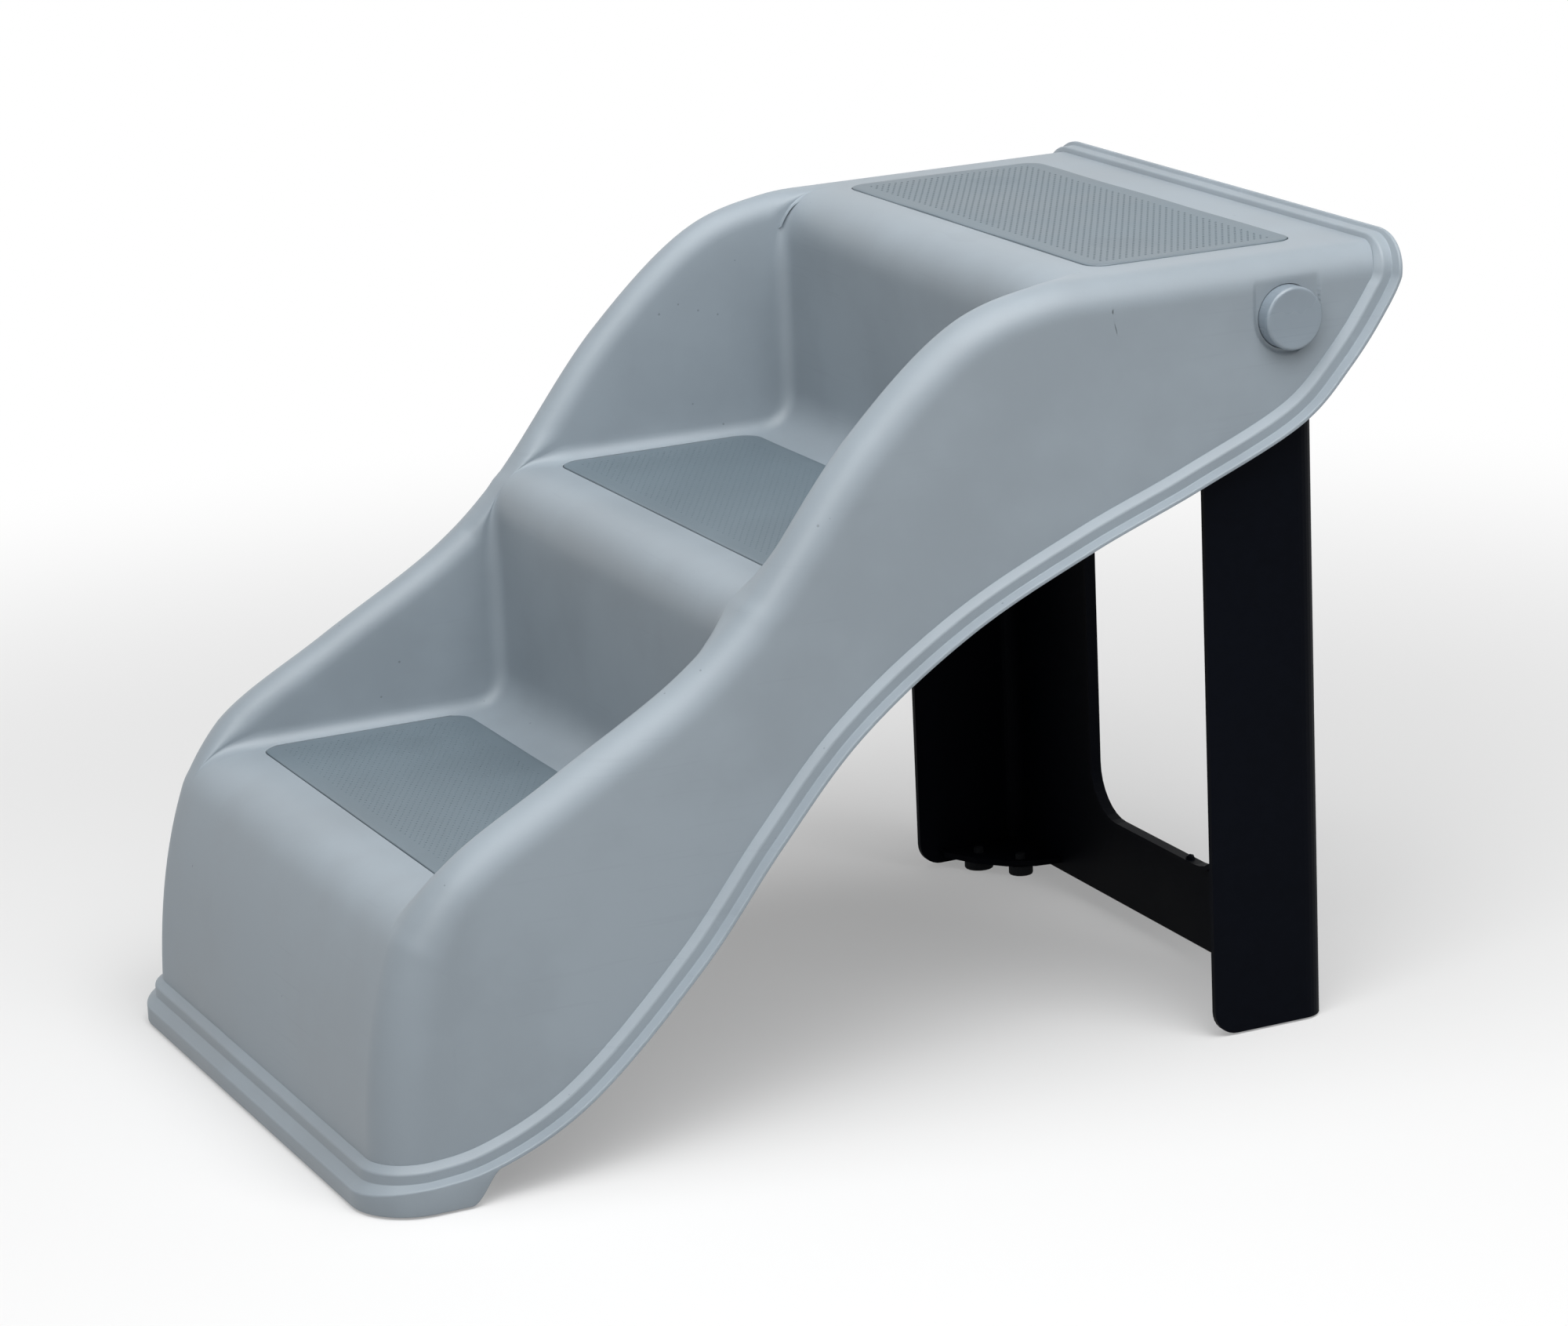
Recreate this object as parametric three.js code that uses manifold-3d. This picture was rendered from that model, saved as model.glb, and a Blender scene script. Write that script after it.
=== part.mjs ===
// Folding pet stairs: a moulded three-step shell on a fold-away rear leg frame.
// Millimetres. X runs from the low front to the high back, Y across, Z up.
import * as THREE from 'three';
import { mergeVertices } from 'three/addons/utils/BufferGeometryUtils.js';
import Module from 'manifold-3d';

const wasm = await Module();
wasm.setup();

// Stairs
const stepRun = 193;
const stepRise = 140;
const firstTreadHeight = 158;
const firstRiserPlace = 37;
const topDeckLength = 206;
const treadHalfWidth = 156;
const nosingReach = 30;
const firstNosingReach = 27;
const treadFilletReach = 24;
const apronFootPlace = 11;

// Shell wall
const shellWall = 3;
const rimFlat = 0.5;
const wallDraftShare = 0.015;
const wallFillet = 9;
const rimInnerRadius = 13;
const rimOuterRadius = 18;
const cornerRadius = 25;

// Flange round the lower edge
const flangeHeight = 14;
const beadOut = 4.5;
const beadHeight = 10;
const lipOut = 10;
const lipThickness = 4.5;
const flangeRoot = 0.5;
const backLipShare = 0.5;

// Front skirt and ribs
const skirtWall = 3;
const skirtFootLength = 55;
const skirtTopLength = 74;
const ribThickness = 3;
const ribSpacing = 75;
const gussetHeight = 6;
const gussetThickness = 3;
const gussetReach = 46;

// Tread mats
const matNosingGap = 8.5;
const matFilletGap = 4.5;
const matSideGap = 6;
const matThickness = 1.8;
const matCornerRadius = 11;
const recessDepth = 1.2;
const recessClearance = 0.5;

// Leg frame
const legFrontReach = 52;
const legDepth = 73;
const legPlate = 3.5;
const legWallClearance = 1.5;
const legCornerRadius = 14;
const legToeRadius = 14;
const legWebDrop = 65;
const windowSide = 106;
const windowSill = 53;
const windowHead = 40;
const windowRadius = 30;
const braceLip = 3;
const catchNubSize = 3;
const catchNubPlace = 36;
const legFloorGap = 1.2;
const legGussetInset = 58;

// Fold pivot
const pivotBackInset = 69;
const hubHeadroom = 4;
const foldAngle = THREE.MathUtils.degToRad(50);
const housingWall = 2.1;
const housingWallGap = 4.5;
const hubWall = 5.5;
const hubRim = 2.6;
const hubClearance = 0.5;
const neckInset = 2;
const neckTop = 12;
const neckBottom = 82;
const plateHousingGap = 2;
const plateShoulderDrop = 56;
const bearingWall = 5;
const bearingFlare = 15;
const screwRadius = 2;
const screwHeadRadius = 4.5;
const screwHeadHeight = 3;
const screwHeadTopShare = 0.8;
const screwLength = 12;
const screwBossRadius = 5;
const screwBossHeight = 6;
const washerThickness = 1;
const washerRadius = 6.5;

// Lock button
const buttonRadius = 17.5;
const buttonWall = 2.4;
const buttonProud = 9.5;
const buttonEdgeRadius = 1.8;
const buttonTravel = 4;
const lugWidth = 6;
const lugLength = 4;
const lugCount = 3;
const pocketMargin = 3;
const pocketDepth = 1.5;
const springInset = 8;
const springWire = 0.7;
const springTurns = 4;

// Feet
const pegRadius = 7.5;
const pegRearInset = 25;
const pegSideInset = 45;
const padRadius = 9;
const padRearInset = 41;
const padSideInset = 20;
const frontFootRadius = 8;
const frontFootInset = 15;
const frontFootSideInset = 21.5;
const footStemRadius = 3;

// Fits
const seatGap = 0.3;
const holeClearance = 0.4;
const overrun = 5;
const weldTolerance = 1e-3;

// Shape of the side outlines, as shares of the stair's own sizes, and the smoothness of each curve
const apronBulgeShare = [0.08, 0.58];
const frontMeetShare = [-0.031, -0.15];
const rimLeadShare = 0.8;
const rimShares = [
  [0.12, 0.12], [0.46, 0.4], [0.845, 0.707], [1.04, 0.943],
  [1.386, 1.52], [1.72, 1.895], [1.97, 1.99], [2.17, 2],
];
const lowerEdgeShares = [
  [0.107, 0.009], [0.19, 0.062], [0.307, 0.216], [0.384, 0.352], [0.46, 0.472], [0.567, 0.582],
  [0.687, 0.663], [0.794, 0.722], [0.901, 0.792], [0.943, 0.85], [0.978, 0.903],
];
// How far along the rim and the lower edge the apron, the first nosing and each step's stretches end
const apronEdgeShare = 0.03;
const firstNosingShares = [0.085, 0.06];
const stepEndShares = [
  [[0.31, 0.205], [0.37, 0.255], [0.435, 0.3], [0.53, 0.36]],
  [[0.78, 0.53], [0.855, 0.59], [0.93, 0.665], [1, 0.74]],
];
const arcSteps = 4;
const treadSteps = 4;
const riserSteps = 3;
const flangeSteps = 26;
const roundSides = 24;
const screwSides = 12;
const footSides = 16;

// Sizes worked out from those above
const treadHeights = [0, 1, 2].map((step) => firstTreadHeight + step * stepRise);
const deckHeight = treadHeights[2];
const riserPlaces = [0, 1, 2].map((step) => firstRiserPlace + step * stepRun);
const backPlace = riserPlaces[2] + topDeckLength;
const wallHalfWidth = treadHalfWidth + rimInnerRadius + rimFlat + rimOuterRadius;
const edgeOffset = beadHeight - shellWall;
const matSetback = nosingReach + matNosingGap;
const matLength = stepRun - matSetback - treadFilletReach - matFilletGap;
const matWidth = 2 * (treadHalfWidth - matSideGap);
const housingRadius = buttonRadius + holeClearance + housingWall;
const housingReach = wallHalfWidth - shellWall - housingWallGap;
const hubRadius = housingRadius + hubClearance + hubWall;
const lugReach = hubRadius - hubRim;
const pocketHalfWidth = buttonRadius + pocketMargin;
const springRadius = buttonRadius - springInset;
const bearingRadius = housingRadius + bearingWall;
const bearingHalfBase = bearingRadius + bearingFlare;
const pivotPlace = backPlace - pivotBackInset;
const pivotHeight = deckHeight - shellWall - hubHeadroom - hubRadius;
const legFrontPlace = pivotPlace - legFrontReach;
const legRearPlace = legFrontPlace + legDepth;
const legHalfWidth = wallHalfWidth - shellWall - legWallClearance;
const legWebTop = pivotHeight - legWebDrop;
const windowTop = legWebTop - windowHead;
const windowHalfWidth = legHalfWidth - windowSide;
const neckFront = hubRadius - neckInset;
const plateTopDrop = housingRadius + plateHousingGap;
const pegPlace = legRearPlace - pegRearInset;
const pegSide = legHalfWidth - pegSideInset;
const padPlace = legRearPlace - padRearInset;
const padSide = legHalfWidth - padSideInset;
const frontFootPlace = apronFootPlace + frontFootInset;
const frontFootSide = wallHalfWidth - frontFootSideInset;
const bearingFace = treadHalfWidth + shellWall;
const washerFace = bearingFace + seatGap;
const hubFace = washerFace + shellWall + seatGap;
const lugFace = hubFace + buttonTravel + seatGap;
const hubEnd = lugFace + lugLength + holeClearance + hubClearance;
const chord = new THREE.Vector2(backPlace - apronFootPlace, deckHeight - flangeHeight).normalize();

// Turns a closed three.js geometry into a solid that can be joined and cut.
function solidFrom(geometry) {
  const bare = geometry.index ? geometry.toNonIndexed() : geometry.clone();
  bare.deleteAttribute('normal');
  bare.deleteAttribute('uv');
  const welded = mergeVertices(bare, weldTolerance);
  const corners = welded.index.array;
  const kept = [];
  for (let i = 0; i < corners.length; i += 3) {
    const [a, b, c] = [corners[i], corners[i + 1], corners[i + 2]];
    if (a !== b && b !== c && c !== a) kept.push(a, b, c);
  }
  return new wasm.Manifold(new wasm.Mesh({
    numProp: 3,
    vertProperties: welded.attributes.position.array,
    triVerts: Uint32Array.from(kept),
  }));
}

// Turns a solid back into a three.js geometry.
function geometryFrom(solid) {
  const mesh = solid.getMesh();
  const geometry = new THREE.BufferGeometry();
  geometry.setAttribute('position', new THREE.BufferAttribute(mesh.vertProperties, 3));
  geometry.setIndex(new THREE.BufferAttribute(mesh.triVerts, 1));
  geometry.computeVertexNormals();
  return geometry;
}

// A copy of a geometry on the other side of the stair's centre plane.
function mirrored(geometry) {
  const copy = (geometry.index ? geometry.toNonIndexed() : geometry.clone()).scale(1, -1, 1);
  const position = copy.getAttribute('position');
  const turned = new Float32Array(position.count * 3);
  for (let i = 0; i < position.count; i += 3) {
    [0, 2, 1].forEach((from, to) => {
      turned.set([position.getX(i + from), position.getY(i + from), position.getZ(i + from)], (i + to) * 3);
    });
  }
  const result = new THREE.BufferGeometry();
  result.setAttribute('position', new THREE.BufferAttribute(turned, 3));
  result.computeVertexNormals();
  return result;
}

// A flat outline raised to a depth, with no bevel.
function extruded(shape, depth, curveSegments) {
  return new THREE.ExtrudeGeometry(shape, { depth, bevelEnabled: false, curveSegments });
}

// An outline in X and Z, carried across the stair from one Y to another.
function prismAcross(shape, low, high, curveSegments = arcSteps) {
  const geometry = extruded(shape, high - low, curveSegments);
  return geometry.rotateX(Math.PI / 2).translate(0, high, 0);
}

// An outline in Y and Z, carried along the stair from one X to another.
function prismAlong(shape, low, high, curveSegments = arcSteps) {
  const geometry = extruded(shape, high - low, curveSegments);
  const turn = new THREE.Matrix4().makeBasis(
    new THREE.Vector3(0, 1, 0), new THREE.Vector3(0, 0, 1), new THREE.Vector3(1, 0, 0),
  );
  return geometry.applyMatrix4(turn).translate(low, 0, 0);
}

// An outline in X and Y, raised from one Z to another.
function prismUp(shape, low, high, curveSegments = arcSteps) {
  const geometry = extruded(shape, high - low, curveSegments);
  return geometry.translate(0, 0, low);
}

// A round piece about an axis that runs across the stair; each point is [radius, Y].
function turnedAcross(points, place = pivotPlace, height = pivotHeight, sides = roundSides) {
  const profile = points.map(([radius, y]) => new THREE.Vector2(radius, y));
  return new THREE.LatheGeometry([...profile, profile[0]], sides).translate(place, 0, height);
}

// A round piece about an upright axis; each point is [radius, Z].
function turnedUp(points, place, side, sides = roundSides) {
  const profile = points.map(([radius, z]) => new THREE.Vector2(radius, z));
  const geometry = new THREE.LatheGeometry([...profile, profile[0]], sides);
  return geometry.rotateX(Math.PI / 2).translate(place, side, 0);
}

// A rectangle with round corners.
function roundedRectangle(left, low, right, high, radius) {
  const shape = new THREE.Shape();
  shape.moveTo(left + radius, low);
  shape.lineTo(right - radius, low);
  shape.absarc(right - radius, low + radius, radius, -Math.PI / 2, 0);
  shape.lineTo(right, high - radius);
  shape.absarc(right - radius, high - radius, radius, 0, Math.PI / 2);
  shape.lineTo(left + radius, high);
  shape.absarc(left + radius, high - radius, radius, Math.PI / 2, Math.PI);
  shape.lineTo(left, low + radius);
  shape.absarc(left + radius, low + radius, radius, Math.PI, Math.PI * 1.5);
  return shape;
}

// Side outlines of the shell: the walked surface, the rim of the side wall and the lower edge
const point = (x, z) => new THREE.Vector2(x, z);
const stairPoint = ([alongShare, upShare]) => point(
  firstRiserPlace + alongShare * stepRun,
  firstTreadHeight + upShare * stepRise,
);
const apronFoot = point(apronFootPlace, flangeHeight + edgeOffset);
const frontMeet = stairPoint(frontMeetShare);
const backEnd = point(backPlace - edgeOffset, deckHeight);

function apronCurve() {
  const bulge = point(
    apronFoot.x + apronBulgeShare[0] * (frontMeet.x - apronFoot.x),
    apronFoot.y + apronBulgeShare[1] * (frontMeet.y - apronFoot.y),
  );
  return new THREE.QuadraticBezierCurve(apronFoot, bulge, frontMeet);
}

// A smooth curve through points; the first and last point only steer its ends.
function throughPoints(points) {
  const knots = points.map((p) => new THREE.Vector3(p.x, 0, p.y));
  const path = new THREE.CatmullRomCurve3(knots, false, 'centripetal');
  const spans = points.length - 1;
  const marks = spans * 30;
  const shareAt = (mark) => (1 + (mark / marks) * (spans - 2)) / spans;
  const lengths = [0];
  for (let mark = 1; mark <= marks; mark += 1) {
    const step = path.getPoint(shareAt(mark)).distanceTo(path.getPoint(shareAt(mark - 1)));
    lengths.push(lengths[mark - 1] + step);
  }
  const placeOf = (share) => {
    const wanted = share * lengths[marks];
    let mark = 1;
    while (mark < marks && lengths[mark] < wanted) mark += 1;
    const within = (wanted - lengths[mark - 1]) / (lengths[mark] - lengths[mark - 1]);
    return shareAt(mark - 1 + within);
  };
  return {
    at: (share) => {
      const p = path.getPoint(placeOf(share));
      return point(p.x, p.z);
    },
    along: (share) => {
      const t = path.getTangent(placeOf(share));
      return point(t.x, t.z);
    },
  };
}

function straightOrCurved(curve) {
  return { at: (share) => curve.getPointAt(share), along: (share) => curve.getTangentAt(share) };
}

const apron = straightOrCurved(apronCurve());
const rim = throughPoints([
  apron.at(rimLeadShare),
  apron.at(1),
  ...rimShares.map(stairPoint),
  point(riserPlaces[2] + 2 * matSetback, deckHeight),
]);
const lowerEdge = throughPoints([
  point(apronFootPlace, flangeHeight),
  point(apronFootPlace + cornerRadius, flangeHeight),
  ...lowerEdgeShares.map(([along, up]) => point(
    along * backPlace,
    flangeHeight + up * (deckHeight - flangeHeight),
  )),
  point(backPlace, deckHeight - rimOuterRadius),
  point(backPlace, deckHeight),
]);

// The way the lower edge runs: level where it meets the front, upright where it meets the back.
function edgeAlong(share) {
  if (share === 0) return point(1, 0);
  return share === 1 ? point(0, 1) : lowerEdge.along(share);
}

// The stretches of the stair from front to back. Each gives the floor curve, its number of stations, and how
// far along the rim and the lower edge it ends, as shares of their lengths.
function stairStretches() {
  const line = (from, to) => straightOrCurved(new THREE.LineCurve(from, to));
  const bend = (from, corner, to) => straightOrCurved(new THREE.QuadraticBezierCurve(from, corner, to));
  const lean = apron.along(1);
  const noseCorner = point(
    frontMeet.x + lean.x / lean.y * (firstTreadHeight - frontMeet.y),
    firstTreadHeight,
  );
  const noseEnd = point(noseCorner.x + firstNosingReach, firstTreadHeight);
  const list = [];
  const add = (floor, steps, [rimEnd, edgeEnd]) => list.push({ floor, steps, rimEnd, edgeEnd });
  add(bend(frontMeet, noseCorner, noseEnd), arcSteps, firstNosingShares);
  let from = noseEnd;
  [1, 2].forEach((step) => {
    const low = treadHeights[step - 1];
    const high = treadHeights[step];
    const face = riserPlaces[step];
    const treadEnd = point(face - treadFilletReach, low);
    const riserStart = point(face, low + treadFilletReach);
    const riserEnd = point(face, high - nosingReach);
    const noseStop = point(face + nosingReach, high);
    const endShares = stepEndShares[step - 1];
    add(line(from, treadEnd), treadSteps, endShares[0]);
    add(bend(treadEnd, point(face, low), riserStart), arcSteps, endShares[1]);
    add(line(riserStart, riserEnd), riserSteps, endShares[2]);
    add(bend(riserEnd, point(face, high), noseStop), arcSteps, endShares[3]);
    from = noseStop;
  });
  add(line(from, backEnd), treadSteps, [null, 1]);
  return list;
}

const upFrom = (along) => point(-along.y, along.x);
const between = THREE.MathUtils.lerp;

// One station of the shell: where the floor, the rim and the lower edge are, and which way each faces.
function stations() {
  const list = [];
  const edgeAt = (share) => lowerEdge.at(share).addScaledVector(upFrom(edgeAlong(share)), edgeOffset);
  const apronStations = 3;
  for (let i = 0; i < apronStations; i += 1) {
    const share = i / apronStations;
    const up = upFrom(apron.along(share));
    list.push({
      floor: apron.at(share),
      rim: apron.at(share),
      floorUp: up,
      rimUp: up,
      edge: edgeAt(share * apronEdgeShare),
      outerRadius: cornerRadius,
    });
  }
  let rimShare = 0;
  let edgeShare = apronEdgeShare;
  const pieces = stairStretches();
  pieces.forEach((piece, index) => {
    const isLast = index === pieces.length - 1;
    const rimEnd = piece.rimEnd;
    const count = isLast ? piece.steps + 1 : piece.steps;
    for (let i = 0; i < count; i += 1) {
      const share = i / piece.steps;
      const floor = piece.floor.at(share);
      const floorUp = upFrom(piece.floor.along(share));
      const onDeck = rimEnd === null;
      const rimPlace = onDeck ? null : between(rimShare, rimEnd, share);
      list.push({
        floor,
        floorUp,
        rim: onDeck ? floor.clone() : rim.at(rimPlace),
        rimUp: onDeck ? floorUp.clone() : upFrom(rim.along(rimPlace)),
        edge: edgeAt(between(edgeShare, piece.edgeEnd, share)),
        outerRadius: index === 0 ? between(cornerRadius, rimOuterRadius, share) : rimOuterRadius,
      });
    }
    rimShare = rimEnd;
    edgeShare = piece.edgeEnd;
  });
  return list;
}

// Half width of the drafted outer wall at a place on it.
function wallHalfWidthAt(place) {
  const rise = -(place.x - apronFootPlace) * chord.y + (place.y - flangeHeight) * chord.x;
  return wallHalfWidth - wallDraftShare * Math.max(rise, 0);
}

// The shell's outer skin at one station, from the centre plane out to the lower edge.
function halfSection(station) {
  const height = station.floor.distanceTo(station.rim);
  const wallShare = Math.min(1, height / (wallFillet + rimInnerRadius));
  const { outerRadius } = station;
  const outerY = wallHalfWidthAt(station.rim);
  const crestY = outerY - outerRadius;
  const spots = [];
  const add = (base, up, lift, y) => {
    spots.push(new THREE.Vector3(base.x + up.x * lift, y, base.y + up.y * lift));
  };
  add(station.floor, station.floorUp, 0, 0);
  const filletSteps = 3;
  for (let i = 0; i <= filletSteps; i += 1) {
    const turn = (i / filletSteps) * Math.PI / 2;
    const lift = wallFillet * wallShare * (1 - Math.cos(turn));
    add(station.floor, station.floorUp, lift, treadHalfWidth - wallFillet * (1 - Math.sin(turn)));
  }
  const rimSteps = 3;
  for (let i = 0; i <= rimSteps; i += 1) {
    const turn = (i / rimSteps) * Math.PI / 2;
    const drop = rimInnerRadius * wallShare * (1 - Math.sin(turn));
    add(station.rim, station.rimUp, -drop, treadHalfWidth + (crestY - treadHalfWidth) * (1 - Math.cos(turn)));
  }
  const outerSteps = 4;
  for (let i = 1; i <= outerSteps; i += 1) {
    const turn = (i / outerSteps) * Math.PI / 2;
    const drop = outerRadius * (1 - Math.cos(turn));
    add(station.rim, station.rimUp, -drop, crestY + outerRadius * Math.sin(turn));
  }
  spots.push(new THREE.Vector3(station.edge.x, wallHalfWidth, station.edge.y));
  return spots;
}

// A closed sheet of even thickness under a grid of points whose faces look up and out.
function thickSheet(rows, thickness) {
  const columns = rows[0].length;
  const flat = rows.flat();
  const index = [];
  const cell = (row, column) => row * columns + column;
  for (let r = 0; r + 1 < rows.length; r += 1) {
    for (let c = 0; c + 1 < columns; c += 1) {
      index.push(cell(r, c), cell(r + 1, c), cell(r, c + 1));
      index.push(cell(r + 1, c), cell(r + 1, c + 1), cell(r, c + 1));
    }
  }
  const skin = new THREE.BufferGeometry().setFromPoints(flat);
  skin.setIndex(index);
  skin.computeVertexNormals();
  const normal = skin.getAttribute('normal');
  const inner = flat.map((spot, i) => new THREE.Vector3(
    spot.x - normal.getX(i) * thickness,
    spot.y - normal.getY(i) * thickness,
    spot.z - normal.getZ(i) * thickness,
  ));
  const shift = flat.length;
  const faces = [...index];
  for (let i = 0; i < index.length; i += 3) {
    faces.push(index[i] + shift, index[i + 2] + shift, index[i + 1] + shift);
  }
  const last = rows.length - 1;
  const border = [];
  for (let c = 0; c < columns - 1; c += 1) border.push([cell(0, c), cell(0, c + 1)]);
  for (let r = 0; r < last; r += 1) border.push([cell(r, columns - 1), cell(r + 1, columns - 1)]);
  for (let c = columns - 1; c > 0; c -= 1) border.push([cell(last, c), cell(last, c - 1)]);
  for (let r = last; r > 0; r -= 1) border.push([cell(r, 0), cell(r - 1, 0)]);
  border.forEach(([a, b]) => faces.push(a, b, a + shift, b, b + shift, a + shift));
  const sheet = new THREE.BufferGeometry().setFromPoints([...flat, ...inner]);
  sheet.setIndex(faces);
  return sheet;
}

function shellSkin() {
  const rows = stations().map((station) => {
    const half = halfSection(station);
    const near = half.slice(1).reverse().map((spot) => new THREE.Vector3(spot.x, -spot.y, spot.z));
    return [...near, ...half];
  });
  return solidFrom(thickSheet(rows, shellWall));
}

// Stations of the flange: a loop along the lower edge on both sides and across at the front and back.
function flangeLoop() {
  const turnSteps = arcSteps;
  const frontShare = 0;
  const backShare = 1;
  const loop = [];
  const station = (share, turn, side) => {
    const base = lowerEdge.at(share);
    const along = edgeAlong(share);
    const away = along.clone().multiplyScalar(share === frontShare ? -1 : 1);
    const radius = share === frontShare ? cornerRadius : rimOuterRadius;
    const sweep = Math.sin(turn) * radius;
    const y = side * (wallHalfWidth - radius + Math.cos(turn) * radius);
    const spread = share === backShare ? between(1, backLipShare, Math.sin(turn)) : 1;
    loop.push({
      spread,
      at: new THREE.Vector3(base.x + away.x * sweep, y, base.y + away.y * sweep),
      out: new THREE.Vector3(away.x * Math.sin(turn), side * Math.cos(turn), away.y * Math.sin(turn)),
      up: new THREE.Vector3(-along.y, 0, along.x),
    });
  };
  for (let i = turnSteps; i > 0; i -= 1) station(frontShare, (i / turnSteps) * Math.PI / 2, -1);
  for (let i = 0; i <= flangeSteps; i += 1) station(between(frontShare, backShare, i / flangeSteps), 0, -1);
  for (let i = 1; i <= turnSteps; i += 1) station(backShare, (i / turnSteps) * Math.PI / 2, -1);
  for (let i = turnSteps; i > 0; i -= 1) station(backShare, (i / turnSteps) * Math.PI / 2, 1);
  for (let i = flangeSteps; i >= 0; i -= 1) station(between(frontShare, backShare, i / flangeSteps), 0, 1);
  for (let i = 1; i <= turnSteps; i += 1) station(frontShare, (i / turnSteps) * Math.PI / 2, 1);
  return loop;
}

function flange() {
  const section = [
    [-shellWall - flangeRoot, 0], [lipOut, 0], [lipOut, lipThickness],
    [beadOut, lipThickness], [beadOut, beadHeight], [-shellWall - flangeRoot, beadHeight],
  ];
  const loop = flangeLoop();
  const spots = loop.flatMap(({ at, out, up, spread }) => section.map(([away, high]) => at.clone()
    .addScaledVector(out, Math.min(away, away * spread))
    .addScaledVector(up, high)));
  const sides = section.length;
  const faces = [];
  loop.forEach((_, i) => {
    const next = (i + 1) % loop.length;
    section.forEach((__, j) => {
      const after = (j + 1) % sides;
      const [a, b, c, d] = [i * sides + j, next * sides + j, next * sides + after, i * sides + after];
      faces.push(a, b, d, b, c, d);
    });
  });
  const ring = new THREE.BufferGeometry().setFromPoints(spots);
  ring.setIndex(faces);
  return solidFrom(ring);
}

// The skirt under the flange's front lip: a U in plan whose ends rise to the flange in a soft curve.
function frontSkirt() {
  const outer = wallHalfWidth + lipOut;
  const front = apronFootPlace - lipOut;
  const radius = cornerRadius + lipOut;
  const band = (inset, back) => {
    const shape = new THREE.Shape();
    shape.moveTo(back, -outer + inset);
    shape.lineTo(front + radius, -outer + inset);
    shape.absarc(front + radius, -outer + radius, radius - inset, -Math.PI / 2, -Math.PI, true);
    shape.lineTo(front + inset, outer - radius);
    shape.absarc(front + radius, outer - radius, radius - inset, Math.PI, Math.PI / 2, true);
    shape.lineTo(back, outer - inset);
    return shape;
  };
  const top = flangeHeight + beadHeight;
  const solid = solidFrom(prismUp(band(0, skirtTopLength), legFloorGap, top))
    .subtract(solidFrom(prismUp(band(skirtWall, skirtTopLength + overrun), 0, top + overrun)));
  const side = new THREE.Shape();
  side.moveTo(front - overrun, 0);
  side.lineTo(skirtFootLength, 0);
  const middle = (skirtFootLength + skirtTopLength) / 2;
  const meet = point(skirtTopLength - shellWall, flangeHeight + shellWall);
  side.bezierCurveTo(middle, 0, middle, flangeHeight / 2, meet.x, meet.y);
  side.lineTo(front - overrun, meet.y);
  return solid.intersect(solidFrom(prismAcross(side, -outer - overrun, outer + overrun)));
}

// A rib inside the steps, down to the line that joins the treads' inner corners, and never past the flange.
function stairRib(y) {
  const shape = new THREE.Shape();
  const inset = shellWall / 2;
  const tops = [];
  stairStretches().forEach((piece) => {
    for (let i = 0; i < piece.steps; i += 1) {
      const share = i / piece.steps;
      tops.push(piece.floor.at(share).addScaledVector(upFrom(piece.floor.along(share)), -inset));
    }
  });
  tops.forEach((spot, i) => (i === 0 ? shape.moveTo(spot.x, spot.y) : shape.lineTo(spot.x, spot.y)));
  const rearEnd = backPlace - edgeOffset - overrun;
  shape.lineTo(rearEnd, deckHeight - inset);
  shape.lineTo(riserPlaces[2], treadHeights[1]);
  shape.lineTo(riserPlaces[1], treadHeights[0]);
  shape.lineTo(apronFootPlace + shellWall, flangeHeight + beadHeight);
  const below = new THREE.Shape();
  below.moveTo(0, 0);
  for (let i = 0; i <= flangeSteps; i += 1) {
    const share = i / flangeSteps;
    const spot = lowerEdge.at(share).addScaledVector(upFrom(edgeAlong(share)), beadHeight);
    below.lineTo(spot.x, spot.y);
  }
  below.lineTo(backPlace, 0);
  return solidFrom(prismAcross(shape, y - ribThickness / 2, y + ribThickness / 2))
    .subtract(solidFrom(prismAcross(below, y - ribThickness, y + ribThickness)));
}

// The rib under the deck that carries a pivot housing.
function bearingRib(side) {
  const shape = new THREE.Shape();
  const top = deckHeight - shellWall / 2;
  shape.moveTo(pivotPlace - bearingHalfBase, top);
  shape.lineTo(pivotPlace - bearingRadius, pivotHeight);
  shape.absarc(pivotPlace, pivotHeight, bearingRadius, Math.PI, 2 * Math.PI);
  shape.lineTo(pivotPlace + bearingHalfBase, top);
  const [low, high] = side > 0 ? [treadHalfWidth, bearingFace] : [-bearingFace, -treadHalfWidth];
  return solidFrom(prismAcross(shape, low, high));
}

// The shelf in a front corner that holds a foot.
function frontGusset(side) {
  const inner = wallHalfWidth - gussetReach;
  const outer = wallHalfWidth + lipOut - skirtWall / 2;
  const front = apronFootPlace - lipOut + skirtWall / 2;
  const radius = cornerRadius + lipOut - skirtWall / 2;
  const shape = new THREE.Shape();
  shape.moveTo(front, side * inner);
  shape.lineTo(front, side * (outer - radius));
  shape.quadraticCurveTo(front, side * outer, front + radius, side * outer);
  shape.lineTo(skirtFootLength - skirtWall, side * outer);
  shape.lineTo(skirtFootLength - skirtWall, side * (outer - 2 * skirtWall));
  const solid = solidFrom(prismUp(shape, gussetHeight, gussetHeight + gussetThickness));
  return solid.subtract(uprightHole(frontFootPlace, side * frontFootSide, gussetHeight + gussetThickness));
}

// The hole that takes a foot's stem, from the floor up past the given height.
function uprightHole(place, side, top) {
  const radius = footStemRadius + holeClearance;
  return solidFrom(turnedUp([[0, 0], [radius, 0], [radius, top + overrun], [0, top + overrun]], place, side));
}

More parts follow.
